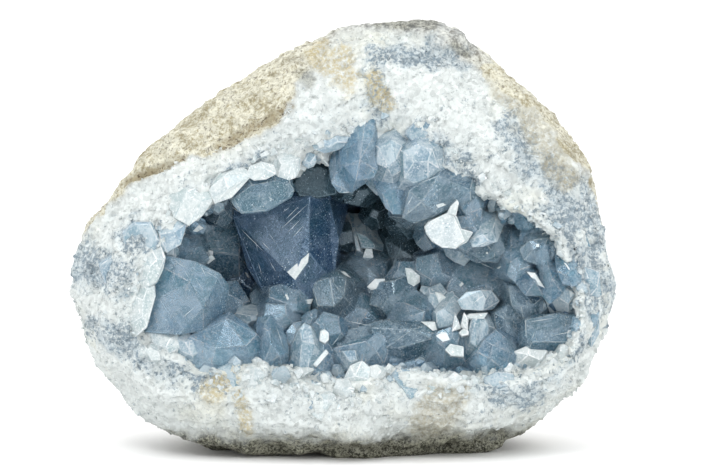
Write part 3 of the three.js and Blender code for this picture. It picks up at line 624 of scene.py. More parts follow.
def cut_block(thickness, length, faces, bevel=0):
    """A block one unit wide that hangs below the origin, cut by faces, its edges worn."""
    select_nothing()
    bpy.ops.mesh.primitive_cube_add(size=1, location=(0, 0, -length / 2), scale=(1, thickness, length))
    block = bpy.context.object
    bpy.ops.object.transform_apply(location=True, rotation=True, scale=True)
    whole = dict(use_fill=True, clear_outer=True)
    cuts = (dict(plane_co=place, plane_no=facing, **whole) for place, facing in faces)
    edit_all(*((bpy.ops.mesh.bisect, cut) for cut in cuts))
    if bevel:
        worn_edges(block, bevel)
    return block


def hull(corners, bevel=0):
    """The smallest solid round some corners in millimetres, its edges worn."""
    mesh = bpy.data.meshes.new("hull")
    mesh.from_pydata([tuple(p * MM) for p in corners], [], [])
    o = new_object("hull", mesh)
    select_only(o)
    edit_all(
        (bpy.ops.mesh.convex_hull, {}),
        (bpy.ops.mesh.dissolve_limited, {"angle_limit": FLAT_EDGE}),
        (bpy.ops.mesh.normals_make_consistent, {"inside": False}),
    )
    if bevel:
        worn_edges(o, bevel)
    return o


def crystal_faces(thickness, blunt):
    """A point on each face of a crystal and the way it looks. The tip is at the origin, the foot below."""
    side, broad, narrow = (math.radians(a) for a in (SIDE_ANGLE, BROAD_END_ANGLE, NARROW_END_ANGLE))
    reach = math.sin(side) / 2
    faces = []
    for u in (-1, 1):
        for v in (-1, 1):
            facing = Vector((u * math.sin(side), v * math.cos(side), 0))
            faces.append((facing * reach, facing))
        facing = Vector((u * math.sin(broad), 0, math.cos(broad)))
        faces.append((facing * 0.12 * (1 - blunt), facing))
        facing = Vector((0, u * math.sin(narrow), math.cos(narrow)))
        faces.append((facing * thickness * 0.2 * (1 - blunt), facing))
    return faces


def crystal_models(length, bevel=0):
    """A few crystals to copy: sharp and blunt, thick and thin."""
    return [cut_block(thick, length, crystal_faces(thick, blunt), bevel) for thick, blunt in CRYSTAL_SHAPES]


def grain_models():
    """A few rough blocks to copy as grains."""
    rng = np.random.default_rng(5)
    models = []
    for _ in range(GRAIN_SHAPES):
        faces = []
        for _ in range(GRAIN_CUTS):
            facing = Vector(rng.normal(0, 1, 3)).normalized()
            faces.append((Vector((0, 0, -0.5)) + facing * rng.uniform(0.36, 0.46), facing))
        models.append(cut_block(0.9, 1, faces))
    return models


def kept_inside(place):
    """The place, or where it would come out of the nodule's sides, the nearest one under them."""
    away = np.array((place[0] - AXIS_X, 0, place[2] - AXIS_Z))
    reach = np.linalg.norm(away)
    limit = around(OUTLINE_RADII, math.atan2(away[2], away[0])) - EDGE_COVER
    return place - away * max(0, 1 - limit / max(reach, 1e-9))


def planned_crystal(number, depth, tilt, crown, root, corners, bevel=0, slope=0):
    """A large crystal from its front's corners on the plan. It widens towards its root by a slope."""
    flat = [plan_place(c[0], c[1], depth) for c in corners]
    middle = sum(flat) / len(flat)
    front = []
    for c, p in zip(corners, flat):
        y = c[2] if len(c) == 3 else depth + tilt[0] * (p[0] - middle[0]) + tilt[1] * (p[2] - middle[2])
        front.append(plan_place(c[0], c[1], y))
    middle = sum(front) / len(front)
    outwards = [(p - middle) / np.linalg.norm(p - middle) for p in front]
    widening = slope * np.linalg.norm(root)
    back = [kept_inside(p + widening * way + np.array(root)) for p, way in zip(front, outwards)]
    top = []
    if crown:
        share, lift = crown
        outward = np.array((tilt[0], -1, tilt[1])) / math.hypot(1, *tilt)
        if share > FLAT_CROWN:
            top = [middle + share * (p - middle) + lift * outward for p in front]
        else:
            size = sum(math.dist(p, middle) for p in front) / len(front)
            turn = number * RIDGE_TURN
            along = np.array((math.cos(turn), 0, math.sin(turn)))
            across = np.array((-math.sin(turn), 0, math.cos(turn)))
            ridge = middle + 0.22 * size * across + 0.3 * size * outward
            top = [ridge + 0.4 * size * along, ridge - 0.3 * size * along]
    return hull(front + back + top, bevel)


def turned_to(tip, pointing, roll, scale):
    """The matrix that puts a crystal's tip at a place in mm, points it, turns it and gives its size."""
    along = Vector((0, 0, 1)).rotation_difference(Vector(pointing).normalized()).to_matrix().to_4x4()
    turned = Matrix.Translation(Vector(tip) * MM) @ along @ Matrix.Rotation(roll, 4, "Z")
    return turned @ Matrix.Diagonal((*(side * MM for side in scale), 1))


def as_made(number, tint, finish):
    """The placement of a model that is in its place already."""
    return number, Matrix.Identity(4), tint, finish, math.inf


def joined_copies(name, models, placements, slot, *nodes):
    """Makes a piece of many copies. Each placement is (model's number, matrix, tint, finish, reach).

    A model hangs down -Z from its tip, and its reach is where its foot is cut off.
    """
    model_places = [vertex_places(m.data) for m in models]
    model_faces = [[list(f.vertices) for f in m.data.polygons] for m in models]
    model_worn = [[f.material_index for f in m.data.polygons] for m in models]
    places, faces, tints, finishes, worn = [], [], [], [], []
    for number, matrix, tint, finish, reach in placements:
        m = np.array(matrix)
        local = model_places[number].copy()
        local[:, 2] = np.maximum(local[:, 2], -reach)
        places.append(local @ m[:3, :3].T + m[:3, 3])
        faces.extend([[v + len(tints) for v in face] for face in model_faces[number]])
        tints.extend([tint] * len(local))
        finishes.extend([finish] * len(model_faces[number]))
        worn.extend(model_worn[number])
    mesh = bpy.data.meshes.new(name)
    mesh.from_pydata(np.concatenate(places).tolist(), [], faces)
    set_attribute(mesh, "tint", tints)
    set_attribute(mesh, "worn", worn, "FACE")
    set_attribute(mesh, "facet", np.random.default_rng(len(placements)).random(len(faces)), "FACE")
    for material in CRYSTAL_FINISHES if slot == "crystal" else ["sugary grains"]:
        mesh.materials.append(bpy.data.materials[material])
    mesh.polygons.foreach_set("material_index", finishes)
    mesh.update()
    seat(new_object(name, mesh), slot, *nodes)


class Surface:
    """A piece's surface in millimetres, sampled for places where small things sit."""

    def __init__(self, name):
        mesh = bpy.data.objects[name].data
        mesh.calc_loop_triangles()
        corners = vertex_places(mesh) / MM
        self.indices = rows(mesh.loop_triangles, "vertices", kind=np.int32)
        a, b, c = (corners[self.indices[:, k]] for k in range(3))
        cross = np.cross(b - a, c - a)
        self.areas = np.linalg.norm(cross, axis=1) / 2
        self.normals = cross / np.maximum(2 * self.areas[:, None], 1e-12)
        self.corners = (a, b, c)
        self.middles = (a + b + c) / 3
        self.tree = ray_tree(name)

    def spread(self, wanted, spacing, seed):
        """Places on the wanted triangles that keep a spacing, with the surface's normals there."""
        rng = np.random.default_rng(seed)
        chances = np.where(wanted, self.areas, 0)
        total = chances.sum()
        tries = int(3.2 * total / spacing**2)
        picked = rng.choice(len(chances), tries, p=chances / total)
        u, v = rng.random(tries), rng.random(tries)
        flip = u + v > 1
        u, v = np.where(flip, 1 - u, u), np.where(flip, 1 - v, v)
        a, b, c = (side[picked] for side in self.corners)
        places = a + u[:, None] * (b - a) + v[:, None] * (c - a)
        kept, grid = [], {}
        for i, p in enumerate(places):
            x, y, z = (p // spacing).astype(int)
            cells = ((x + dx, y + dy, z + dz) for dx, dy, dz in NEIGHBOURS)
            if all(np.dot(p - q, p - q) > spacing**2 for cell in cells for q in grid.get(cell, ())):
                grid.setdefault((x, y, z), []).append(p)
                kept.append(i)
        return places[kept], self.normals[picked[kept]]


class Wall(Surface):
    """The rock's surface, with what each part of it is."""

    def __init__(self):
        super().__init__("rock")
        attributes = bpy.data.objects["rock"].data.attributes
        self.share, self.inward, self.rim, self.lining, self.shade = (
            rows(attributes[name].data, "value", 1).ravel()[self.indices].mean(axis=1)
            for name in ("share", "inward", "rim", "lining", "shade")
        )

    def scatter(self, name, wanted, layer, models, finish, lean_to=(0, 0, 0), slot="crystal"):
        """Makes a piece of small crystals all over some triangles. finish gives their tints and finishes."""
        places, normals = self.spread(wanted, layer["spacing"], layer["seed"])
        tints, finishes = finish(places, np.random.default_rng(layer["seed"]))
        placements = self.grown(places, normals, layer, len(models), tints, finishes, lean_to)
        joined_copies(name, models, placements, slot)

    def grown(self, places, normals, layer, model_count, tints, finishes, lean_to):
        """Placements of crystals that grow from places on the wall, and end inside the rock."""
        rng = np.random.default_rng(layer["seed"] + 100)
        placements = []
        for place, normal, tint, finish in zip(places, normals, tints, finishes):
            width = rng.uniform(*layer["width"])
            height = rng.uniform(*layer["height"]) * width
            stretch, lengthening = rng.uniform(0.75, 1.25), rng.uniform(0.9, 1.2)
            pointing = Vector(normal) + Vector(lean_to) + Vector(rng.normal(0, 0.5, 3)) * layer["lean"]
            pointing.normalize()
            turn, number = rng.uniform(0, 2 * math.pi), int(rng.integers(model_count))
            tip = Vector(place) + pointing * height
            reach = math.hypot(tip.x - AXIS_X, tip.z - AXIS_Z)
            outline = around(OUTLINE_RADII, math.atan2(tip.z - AXIS_Z, tip.x - AXIS_X))
            leaning = pointing.dot(Vector(normal)) < layer.get("upright", -1)
            if leaning or reach > outline - layer.get("margin", 0):
                continue
            start = Vector(place) * MM - pointing * MM
            through = self.tree.ray_cast(start, -pointing)[3] or 0
            rooted = max(max(height, 0) + through / MM - ROOT_COVER, width * 0.5)
            matrix = turned_to(tip, pointing, turn, (width, width * stretch, width * lengthening))
            placements.append((number, matrix, tint, finish, rooted / (width * lengthening)))
        return placements


# ---- Materials ----
class Value:
    """What a socket of a web's node puts out, to reckon with."""

    def __init__(self, web, socket):
        self.web, self.socket = web, socket

    def __add__(self, other):
        return self.web.math("ADD", self, other)

    def __sub__(self, other):
        return self.web.math("SUBTRACT", self, other)

    def __rsub__(self, other):
        return self.web.math("SUBTRACT", other, self)

    def __mul__(self, other):
        return self.web.math("MULTIPLY", self, other)

    def between(self, low, high):
        """The value's place between low and high, from 0 to 1, eased at both ends."""
        inputs = {"Value": self, "From Min": low, "From Max": high}
        return self.web.take("Result", "ShaderNodeMapRange", inputs, interpolation_type="SMOOTHSTEP")


class Web:
    """A node tree that nodes are added to and joined in."""

    def __init__(self, tree):
        self.tree = tree

    def add(self, kind, inputs=None, **settings):
        """A node with its settings and inputs. An input that is a Value is joined, and any other is set."""
        node = self.tree.nodes.new(kind)
        for name, value in settings.items():
            setattr(node, name, value)
        for name, value in (inputs or {}).items():
            self.put(node.inputs[name], value)
        return node

    def put(self, socket, value):
        if isinstance(value, Value):
            self.tree.links.new(value.socket, socket)
        else:
            socket.default_value = value

    def outputs(self, node):
        return {socket.name: Value(self, socket) for socket in node.outputs}

    def take(self, output, kind, inputs=None, **settings):
        """One output of a new node."""
        return Value(self, self.add(kind, inputs, **settings).outputs[output])

    def math(self, operation, *values, clamp=False):
        return self.take(0, "ShaderNodeMath", dict(enumerate(values)), operation=operation, use_clamp=clamp)

    def vector(self, operation, *values, scale=None):
        node = self.add("ShaderNodeVectorMath", dict(enumerate(values)), operation=operation)
        if scale is not None:
            self.put(node.inputs["Scale"], scale)
        return Value(self, node.outputs[0])

    def mix(self, share, first, second, blend="MIX"):
        """A colour between two, by a share."""
        inputs = {0: share, 6: first, 7: second}
        return self.take(2, "ShaderNodeMix", inputs, data_type="RGBA", blend_type=blend)

    def noise(self, place, size, detail=3.0, roughness=0.55, warp=0.0):
        """Noise from 0 to 1 with features of a size in metres."""
        node = self.add("ShaderNodeTexNoise", {"Vector": place, "Scale": 1 / size, "Detail": detail})
        node.inputs["Roughness"].default_value = roughness
        node.inputs["Distortion"].default_value = warp
        return Value(self, node.outputs["Fac"])

    def attributes(self, *names):
        return [self.take("Fac", "ShaderNodeAttribute", attribute_name=name) for name in names]

    def bump(self, strength, distance, height):
        inputs = {"Strength": strength, "Distance": distance, "Height": height}
        return self.take("Normal", "ShaderNodeBump", inputs)

    def group(self, name, **inputs):
        """The outputs of a shared group, by name."""
        return self.outputs(self.add("ShaderNodeGroup", inputs, node_tree=bpy.data.node_groups[name]))

    def give(self, **values):
        """Makes a group's outputs. Any but Color and Normal is a number."""
        for name in values:
            kind = {"Color": "Color", "Normal": "Vector"}.get(name, "Float")
            self.tree.interface.new_socket(name, in_out="OUTPUT", socket_type="NodeSocket" + kind)
        self.add("NodeGroupOutput", values)


def new_group(name, **inputs):
    """The web of a new shader node group, and its inputs. A default of None makes a vector."""
    group = bpy.data.node_groups.new(name, "ShaderNodeTree")
    for socket_name, value in inputs.items():
        kind = "Vector" if value is None else "Color" if isinstance(value, tuple) else "Float"
        socket = group.interface.new_socket(socket_name, in_out="INPUT", socket_type="NodeSocket" + kind)
        if value is not None:
            socket.default_value = value
    web = Web(group)
    return web, web.outputs(web.add("NodeGroupInput"))


def new_material(name, **settings):
    """A material's web, its shader with some sockets set, and the place on the piece."""
    material = bpy.data.materials.new(name)
    material.use_nodes = True
    web = Web(material.node_tree)
    shader = material.node_tree.nodes["Principled BSDF"].inputs
    for socket_name, value in settings.items():
        shader[socket_name.replace("_", " ")].default_value = value
    return web, shader, web.take("Object", "ShaderNodeTexCoord")


def facets_group():
    """Turns the surface's normal a different way in each small cell, as the broken faces of grains do."""
    web, given = new_group("Facets", Place=None, Normal=None, Size=0.002, Strength=0.5)
    scale = web.math("DIVIDE", 1.0, given["Size"])
    cells = web.take("Color", "ShaderNodeTexVoronoi", {"Vector": given["Place"], "Scale": scale})
    slope = web.vector("SCALE", web.vector("SUBTRACT", cells, (0.5, 0.5, 0.5)), scale=given["Strength"])
    web.give(
        Normal=web.vector("NORMALIZE", web.vector("ADD", given["Normal"], slope)),
        Shade=web.take("Red", "ShaderNodeSeparateColor", {"Color": cells}),
    )


def sugar_group():
    """The colour of broken, sugary celestite: white, blue-grey where it is clearer, and stained cream."""
    look = bpy.context.scene.geode_rock
    web, given = new_group(
        "Sugar",
        Place=None,
        Blue=0.0,
        White=(*look.white, 1),
        BlueGrey=(*look.blue_grey, 1),
        Cream=(0.62, 0.62, 0.53, 1),
        Haze=(0.34, 0.42, 0.47, 1),
    )
    place, blue = given["Place"], given["Blue"]
    speckled = web.noise(place, 0.012, 5, 0.68, 0.4) * 0.6 + web.noise(place, 0.0016, 4, 0.8) * 1.6
    clear = (speckled + blue * 0.27).between(1.25, 1.5)
    cream = web.noise(place, 0.03, 3, 0.6, 0.5).between(0.5, 0.72)
    haze = blue * web.noise(place, 0.007, 4, 0.65, 0.6).between(0.3, 0.6)
    white = web.mix(cream * 0.6, given["White"], given["Cream"])
    white = web.mix(haze * 0.6, white, given["Haze"])
    web.give(Color=web.mix(clear, white, given["BlueGrey"]))


def flaws_group():
    """What lies in and on a crystal, different on each facet, from veils and scratches to grit."""
    web, given = new_group("Flaws", Place=None, Facet=0.0)

    def by_facet(vector):
        return web.vector("SCALE", vector, scale=given["Facet"])

    place = web.vector("ADD", given["Place"], by_facet((0.041, 0.067, 0.029)))

    def stretched(turn, thin):
        inputs = {"Vector": place, "Rotation": by_facet(turn), "Scale": (1, thin, thin)}
        return web.take(0, "ShaderNodeMapping", inputs, vector_type="TEXTURE")

    clouds = web.noise(place, 0.013, 6, 0.72, 1.8).between(0.43, 0.62)
    feathers = web.noise(stretched((5, 9, 7), 0.22), 0.012, 5, 0.7, 0.8).between(0.5, 0.75)
    lines = web.noise(stretched((3, 8, 11), 0.05), 0.014, 2, 0.5).between(0.66, 0.7)
    more_lines = web.noise(stretched((9, 2, 6), 0.05), 0.01, 2, 0.5).between(0.67, 0.71)
    dots = web.noise(place, 0.0011, 2, 0.8).between(0.65, 0.72)
    marks = web.math("MAXIMUM", web.math("MAXIMUM", lines, more_lines), dots * 0.9)
    web.give(
        Veils=web.math("MAXIMUM", clouds, feathers * 0.8),
        Scratches=marks * web.noise(place, 0.008).between(0.42, 0.6),
        Dust=web.noise(place, 0.004, 5, 0.7).between(0.35, 0.8),
        Steps=web.noise(stretched((4, 6, 2), 0.2), 0.009, 4, 0.6),
        Hue=web.noise(place, 0.028, 2).between(0.35, 0.65),
        Grit=web.noise(place, 0.0009, 3, 0.85).between(0.4, 0.68),
    )


def rock_material():
    """The nodule's skin, rim, stains and grey patches, and its dark underside, which is painted shade, laid
    where the rock's attributes say.
    """
    web, shader, place = new_material("geode rock", Specular_IOR_Level=0.45)
    rim, tan, ochre, blue, brown, shade, lining = web.attributes(
        "rim", "tan", "ochre", "blue", "brown", "shade", "lining"
    )
    grain = web.noise(place, 0.0013, 3, 0.75)
    patches = web.noise(place, 0.011, 5, 0.65, 0.6)
    granules = web.noise(place, 0.0018, 4, 0.8)
    mottled = patches * 0.4 + granules * 0.6
    speckle = mottled.between(0.4, 0.57)
    grey = web.mix(speckle, (0.2, 0.21, 0.21, 1), (0.55, 0.57, 0.55, 1))
    tan_colour = web.mix(speckle, (0.27, 0.24, 0.15, 1), (0.6, 0.59, 0.49, 1))
    grit = mottled * 0.5 + web.noise(place, 0.0009, 3, 0.85) * 0.5
    # A dark, mottled colour: painted shade on the underside, and at less strength the grey patches' own
    # colour.
    dark_grey_and_painted_shade = web.mix(grit.between(0.44, 0.55), (0.025, 0.025, 0.014, 1), (0.27, 0.27, 0.21, 1))
    colour = web.mix((tan + patches * 0.6).between(0.5, 1.1), grey, tan_colour)
    coats = (
        ((grain + patches * 0.35).between(0.74, 0.84) * 0.8, (0.14, 0.125, 0.1, 1)),
        (rim, web.group("Sugar", Place=place, Blue=blue)["Color"]),
        (ochre * grain.between(0.3, 0.65) * 0.85, (0.42, 0.355, 0.19, 1)),
        (tan * rim * grain.between(0.2, 0.7) * 0.9, (0.34, 0.315, 0.23, 1)),
        (brown * granules.between(0.42, 0.6), (0.24, 0.2, 0.12, 1)),
        (brown * grain.between(0.56, 0.62), (0.08, 0.06, 0.035, 1)),
        (shade, dark_grey_and_painted_shade),
        # The hollow's wall is slate blue like its crystal bed and kept darker than the rim: partly its own
        # colour and partly painted shade.
        (lining, (0.24, 0.33, 0.4, 1)),
    )
    for share, coat in coats:
        colour = web.mix(share, colour, coat)
    bump = web.bump(0.6, 0.0006, grain)
    facets = web.group("Facets", Place=place, Size=0.0016, Normal=bump, Strength=rim * 0.7)
    glitter = facets["Shade"] * 0.24 + 0.84
    web.put(shader["Base Color"], web.mix(1.0, colour, glitter, "MULTIPLY"))
    web.put(shader["Normal"], facets["Normal"])
    web.put(shader["Roughness"], 0.88 - rim * 0.4)


def grain_material():
    web, shader, place = new_material("sugary grains", Transmission_Weight=0.15, IOR=CRYSTAL_IOR)
    (tint,) = web.attributes("tint")
    web.put(shader["Base Color"], web.group("Sugar", Place=place, Blue=tint)["Color"])
    web.put(shader["Roughness"], web.noise(place, 0.001).between(-0.6, 1.6))


def crystal_material(name, deep, teal, pale, transmission, absorbed=None, density=0):
    """A crystal: clear or milky blue with veils, dust and pale worn edges, which are partly wear and partly
    painted highlight. Its tint makes it paler.
    """
    web, shader, place = new_material(name, Transmission_Weight=transmission, IOR=CRYSTAL_IOR)
    shader["Specular Tint"].default_value = bpy.context.scene.geode_crystals.glint
    tint, worn, facet = web.attributes("tint", "worn", "facet")
    flaws = web.group("Flaws", Place=place, Facet=facet)
    milk = flaws["Veils"] * 0.85 + tint * 0.35 + (facet - 0.6) * 0.5
    milk = web.math("ADD", milk, flaws["Grit"] * 0.5, clamp=True)
    colour = web.mix(milk, web.mix(flaws["Hue"], (*deep, 1), (*teal, 1)), (*pale, 1))
    broken = facet * flaws["Steps"].between(0.3, 0.58)
    # Scratches, grit and worn edges are painted near white; on the edges this is partly wear and partly
    # painted highlight.
    frost_and_edge_highlight = worn * broken * 0.65 + flaws["Scratches"] * 0.9
    frost_and_edge_highlight = web.math("ADD", frost_and_edge_highlight, web.math("POWER", flaws["Grit"], 3.0) * 0.35, clamp=True)
    white = (*(min(1, 0.12 + 2.2 * channel) for channel in pale), 1)
    web.put(shader["Base Color"], web.mix(frost_and_edge_highlight, colour, white))
    web.put(shader["Roughness"], web.math("ADD", flaws["Dust"], frost_and_edge_highlight, clamp=True) * 0.22 + 0.04)
    web.put(shader["Normal"], web.bump(0.3, 0.0005, flaws["Steps"]))
    if density:
        inputs = {"Color": (*absorbed, 1), "Density": density}
        absorption = web.take("Volume", "ShaderNodeVolumeAbsorption", inputs)
        web.put(web.tree.nodes["Material Output"].inputs["Volume"], absorption)


def build_materials():
    """Makes the shared groups and the materials, once."""
    if "geode rock" not in bpy.data.materials:
        for make in (facets_group, sugar_group, flaws_group, rock_material, grain_material):
            make()
        for name, values in CRYSTAL_FINISHES.items():
            crystal_material(name, *values)


# ---- Pieces ----
def build_rock(sizes):
    """The rock shell: a fine mesh over the solid, chipped at the rim and weathered outside."""
    select_only(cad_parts["rock_shell"])
    bpy.ops.object.duplicate()
    rock = bpy.context.object
    rock.name = "rock"
    for key in list(rock.keys()):
        del rock[key]
    rock.parent = None
    mesh = rock.data
    mesh.materials.clear()
    edit_all((bpy.ops.mesh.remove_doubles, {"threshold": 1e-6}))
    modify(rock, "REMESH", mode="VOXEL", voxel_size=sizes.fineness)
    modify(rock, "SMOOTH", factor=0.5, iterations=6)

    places, normals = vertex_places(mesh) / MM, rows(mesh.vertex_normals, "vector").astype(float)
    where = zones(places, normals)
    edge = around(SKIN_REACH, where["angle"])
    edge = edge + 0.12 * each_noise(places, 9, 1) + 0.05 * each_noise(places, 3, 2)
    rim = smoothstep(where["share"], edge - 0.03, edge + 0.05)
    inside = where["inside"]
    outer, front_rim = (1 - rim) * (1 - inside), rim * (1 - inside)
    near_mouth = front_rim * smoothstep(where["share"], 0.75, 1.0)
    wander = wandering(places)
    on_front = smoothstep(-places[:, 1], -10, 5) * (1 - inside)
    crevice = closeness(places, BROWN_CREVICES, wander * 0.5) * on_front

    weathered = sum(height * each_noise(places, size, seed) for height, size, seed in WEATHERED_LUMPS)
    pits = np.maximum(0, each_noise(places, 4.5, 7) - 0.28) * 3.0
    chips = 1.2 * each_chip(places, 8.5, 8, 1.2) + 1.0 * each_chip(places, 4.2, 9, 1.2)
    chips += 0.7 * each_chip(places, 2.3, 10, 1.0) + 1.4 * each_noise(places, 12, 12)
    rise = outer * (weathered - pits) * 0.9 + front_rim * (chips * sizes.chipping * (1 + 0.5 * near_mouth))
    flakes = outer * 0.6 * each_chip(places, 3.2, 10, 1.0)
    rise += flakes - crevice * 1.3 + outer * 0.9 * smoothstep(rim, 0, 0.5)
    rise += inside * 1.5 * each_chip(places, 6, 13, 1.0)
    rise += 1.5 * np.minimum(0, each_noise(places, 22, 17)) * smoothstep(places[:, 1], 0, 35) * (1 - inside)
    rise += TOP_KNOB[3] * closeness(places, [TOP_KNOB[:3]], 0.5 * wander) * outer
    rise -= sizes.sunk * (1 - inside)
    keep_base = smoothstep(places[:, 2], 0.2, 3.0)
    places += normals * (rise * keep_base)[:, None]
    places[:, 2] = np.where(places[:, 2] < FLAT_UNDER, 0, places[:, 2])
    mesh.vertices.foreach_set("co", (places * MM).astype(np.float32).ravel())
    mesh.update()

    past_lip = places[:, 1] - (ridge_depth(where["angle"]) + LIP_STEP)
    lining = inside * smoothstep(past_lip + 2 * each_noise(places, 6, 14), -1, 9)
    streaks = closeness(places, TAN_STREAKS, wander) * on_front
    sideways = smoothstep(where["reach"] + 0.25 * each_noise(places, 25, 15), 0.35, 0.95)
    tan = BACK_TAN + (around(SKIN_TAN, where["angle"]) - BACK_TAN) * sideways
    tan += 0.45 * each_noise(places, 32, 16) * smoothstep(places[:, 1], 0, 40)
    # The underside near the floor is darkened: painted shade where the rock turns under.
    under = smoothstep(-normals[:, 2], 0.05, 0.45) * smoothstep(wander * 6 - places[:, 2], -13, -5)
    grey = 0.6 * closeness(places, GREY_PATCHES, wander)
    blue = closeness(places, BLUE_PATCHES, 1.5 * wander) * on_front
    attributes = {
        "share": where["share"],
        "inward": where["inward"],
        "lining": lining,
        "rim": rim * (1 - lining),
        "tan": np.clip(tan * (1 - rim) + streaks, 0, 1),
        "ochre": closeness(places, OCHRE_STAINS, wander) * on_front,
        "blue": np.maximum(blue, 0.2 * near_mouth),
        "brown": crevice,
        # The painted shade of the underside and the real grey patches share this attribute.
        "shade": np.maximum(under, grey) * (1 - inside),
    }
    for name, values in attributes.items():
        set_attribute(mesh, name, values)
    mesh.materials.append(bpy.data.materials["geode rock"])
    select_only(rock)
    bpy.ops.object.shade_smooth()
    seat(rock, "rock", "rock_shell")


def build_large_crystals(sizes):
    """The large crystals, each with a front laid out one by one."""
    rng = np.random.default_rng(21)
    made, placements = [], []
    for i, (finish, depth, tilt, crown, root, corners) in enumerate(LARGE_CRYSTALS):
        hanging = root[2] >= 8
        slope = sizes.root_slope * (0 if finish == FROSTED or not any(tilt) else 0.2 if hanging else 1)
        made.append(planned_crystal(i, depth, tilt, crown, root, corners, sizes.edge_softness, slope))
        # Clear and slate crystals further back in the hollow are made paler: partly their own milkiness and
        # partly painted light in the hollow's shade.
        milky_and_painted_light = 0.35 if finish in (CLEAR, SLATE) and FRONT_DEPTHS[i] > -38 else 0
        placements.append(as_made(i, rng.uniform(0, 0.35) + milky_and_painted_light, finish))
    joined_copies("large_crystals", made, placements, "crystal", "crystal_crust")
    thrown_away(*made)


def build_fill():
    """Crystals between the large ones, rooted in the rock behind, one piece for each size."""
    wall, blockers = ray_tree("rock"), [ray_tree("large_crystals")]
    models = crystal_models(9, 0.014)
    for name, layer in FILL_LAYERS.items():
        rng = np.random.default_rng(layer["seed"])
        taken, placements = [], []
        for _ in range(FILL_TRIES):
            spot = np.array((rng.uniform(*FILL_COLUMNS), rng.uniform(*layer["rows"])))
            draws = rng.random(6)
            lean = rng.normal(0, layer["lean"], 3)
            if any(np.sum((spot - other) ** 2) < layer["spacing"] ** 2 for other in taken):
                continue
            depth = fronts_depth(*spot) + layer["recess"] + 3 * draws[0]
            tip = plan_place(*spot, depth)
            angle = math.atan2(tip[2] - AXIS_Z, tip[0] - AXIS_X)
            if math.hypot(tip[0] - AXIS_X, tip[2] - AXIS_Z) > around(MOUTH_RADII, angle) - 1:
                continue
            rock_depth = seen_on_plan(wall, *spot)
            fronts = [seen_on_plan(tree, *spot) for tree in blockers]
            hidden = any(f is not None and f < depth + HIDDEN_BEHIND for f in fronts)
            if hidden or rock_depth is None or rock_depth < depth + 2:
                continue
            inwards = (HEART - tip) / np.linalg.norm(HEART - tip)
            pointing = Vector((0, -1, 0)) + 0.15 * Vector(inwards * (1, 0, 1)) + Vector(lean)
            pointing.normalize()
            through = wall.ray_cast(Vector(tip) * MM, -pointing)[3]
            if through is None:
                continue
            taken.append(spot)
            width = layer["width"][0] + draws[1] * (layer["width"][1] - layer["width"][0])
            scale = (width, width * (0.75 + 0.5 * draws[3]), width)
            low = smoothstep(spot[1], 230, 330)
            finish = CLEAR if draws[4] < 0.92 - 0.4 * low else MILKY
            if draws[4] < 0.3 - 0.25 * low:
                finish = SLATE
            # Crystals near the deepest gap take the near-black finish: painted shade.
            if gap_nearness(*spot) > 0.12:
                finish = PAINTED_SHADE
            matrix = turned_to(tip, pointing, draws[2] * 2 * math.pi, scale)
            reach = (through / MM + ROOT_COVER) / width
            placements.append((int(draws[5] * len(models)), matrix, 0.4 + 0.5 * draws[0], finish, reach))
        joined_copies(name, models, placements, "crystal")
        blockers.append(ray_tree(name))
    thrown_away(*models)


def build_lining():
    """Smaller crystals of three sizes all over the hollow's wall, one piece for each size."""

    def finish(places, rng):
        forward = smoothstep(-places[:, 1], -5, 45)
        tints = 0.7 * rng.random(len(places)) ** 2 + 0.4 * forward
        draw = rng.random(len(places))
        limits = [draw < 0.55, draw < 0.85 - 0.25 * forward, draw < 1 - 0.1 * forward]
        return tints, np.select(limits, [CLEAR, DEEP, MILKY], FROSTED)

    wall, models = Wall(), crystal_models(2.2)
    for name, layer in LINING_LAYERS.items():
        wanted = (wall.lining > 0.5) & (wall.middles[:, 1] > layer["foremost"])
        wall.scatter(name, wanted, layer, models, finish, lean_to=(0, -0.5, 0))
    thrown_away(*models)


def build_edge():
    """Pale crystals and coarse sugar round the mouth."""
    wall = Wall()
    for name, layer in EDGE_LAYERS.items():

        def finish(places, rng):
            shares = [layer["shares"].get(number, 0) for number in range(len(CRYSTAL_FINISHES))]
            return rng.uniform(0.8, 1.6, len(places)), rng.choice(len(shares), len(places), p=shares)

        models = crystal_models(1.3) if layer["crystals"] else grain_models()
        wanted = (wall.inward > layer["inward"]) & (wall.share > 0.9) & (wall.lining < 0.6)
        wall.scatter(name, wanted, layer, models, finish, lean_to=(0, -0.3, 0))
        thrown_away(*models)


def build_lumps(sizes):
    """The rim's milky crystals, each with a front laid out one by one where the rock carries it."""
    tree = ray_tree("rock")
    made, placements = [], []
    for i, (blue, stand, tilt, crown, root, corners) in enumerate(RIM_LUMPS):
        depth = np.median([seen_on_plan(tree, *c) for c in corners]) - stand
        made.append(planned_crystal(i + 3, depth, tilt, crown, root, corners, sizes.edge_softness, -0.05))
        placements.append(as_made(i, 1 - blue, MILKY if blue > 0.45 else CLOUDY))
    joined_copies("rim_lumps", made, placements, "crystal")
    thrown_away(*made)


def build_grains():
    """Grains sunk in the broken rim."""

    def finish(places, rng):
        blues = closeness(places, BLUE_PATCHES, 1.5 * wandering(places))
        return np.clip(0.6 * rng.random(len(places)) ** 2 + 0.6 * blues, 0, 1), np.zeros(len(places), int)

    wall, models = Wall(), grain_models()
    stained = closeness(wall.middles, OCHRE_STAINS + TAN_STREAKS, np.zeros(len(wall.middles))) > 0.4
    wanted = (wall.lining < 0.5) & (wall.rim > 0.5) & (wall.shade < 0.15) & ~stained
    wall.scatter("grains", wanted, GRAINS, models, finish, slot="rock")
    thrown_away(*models)


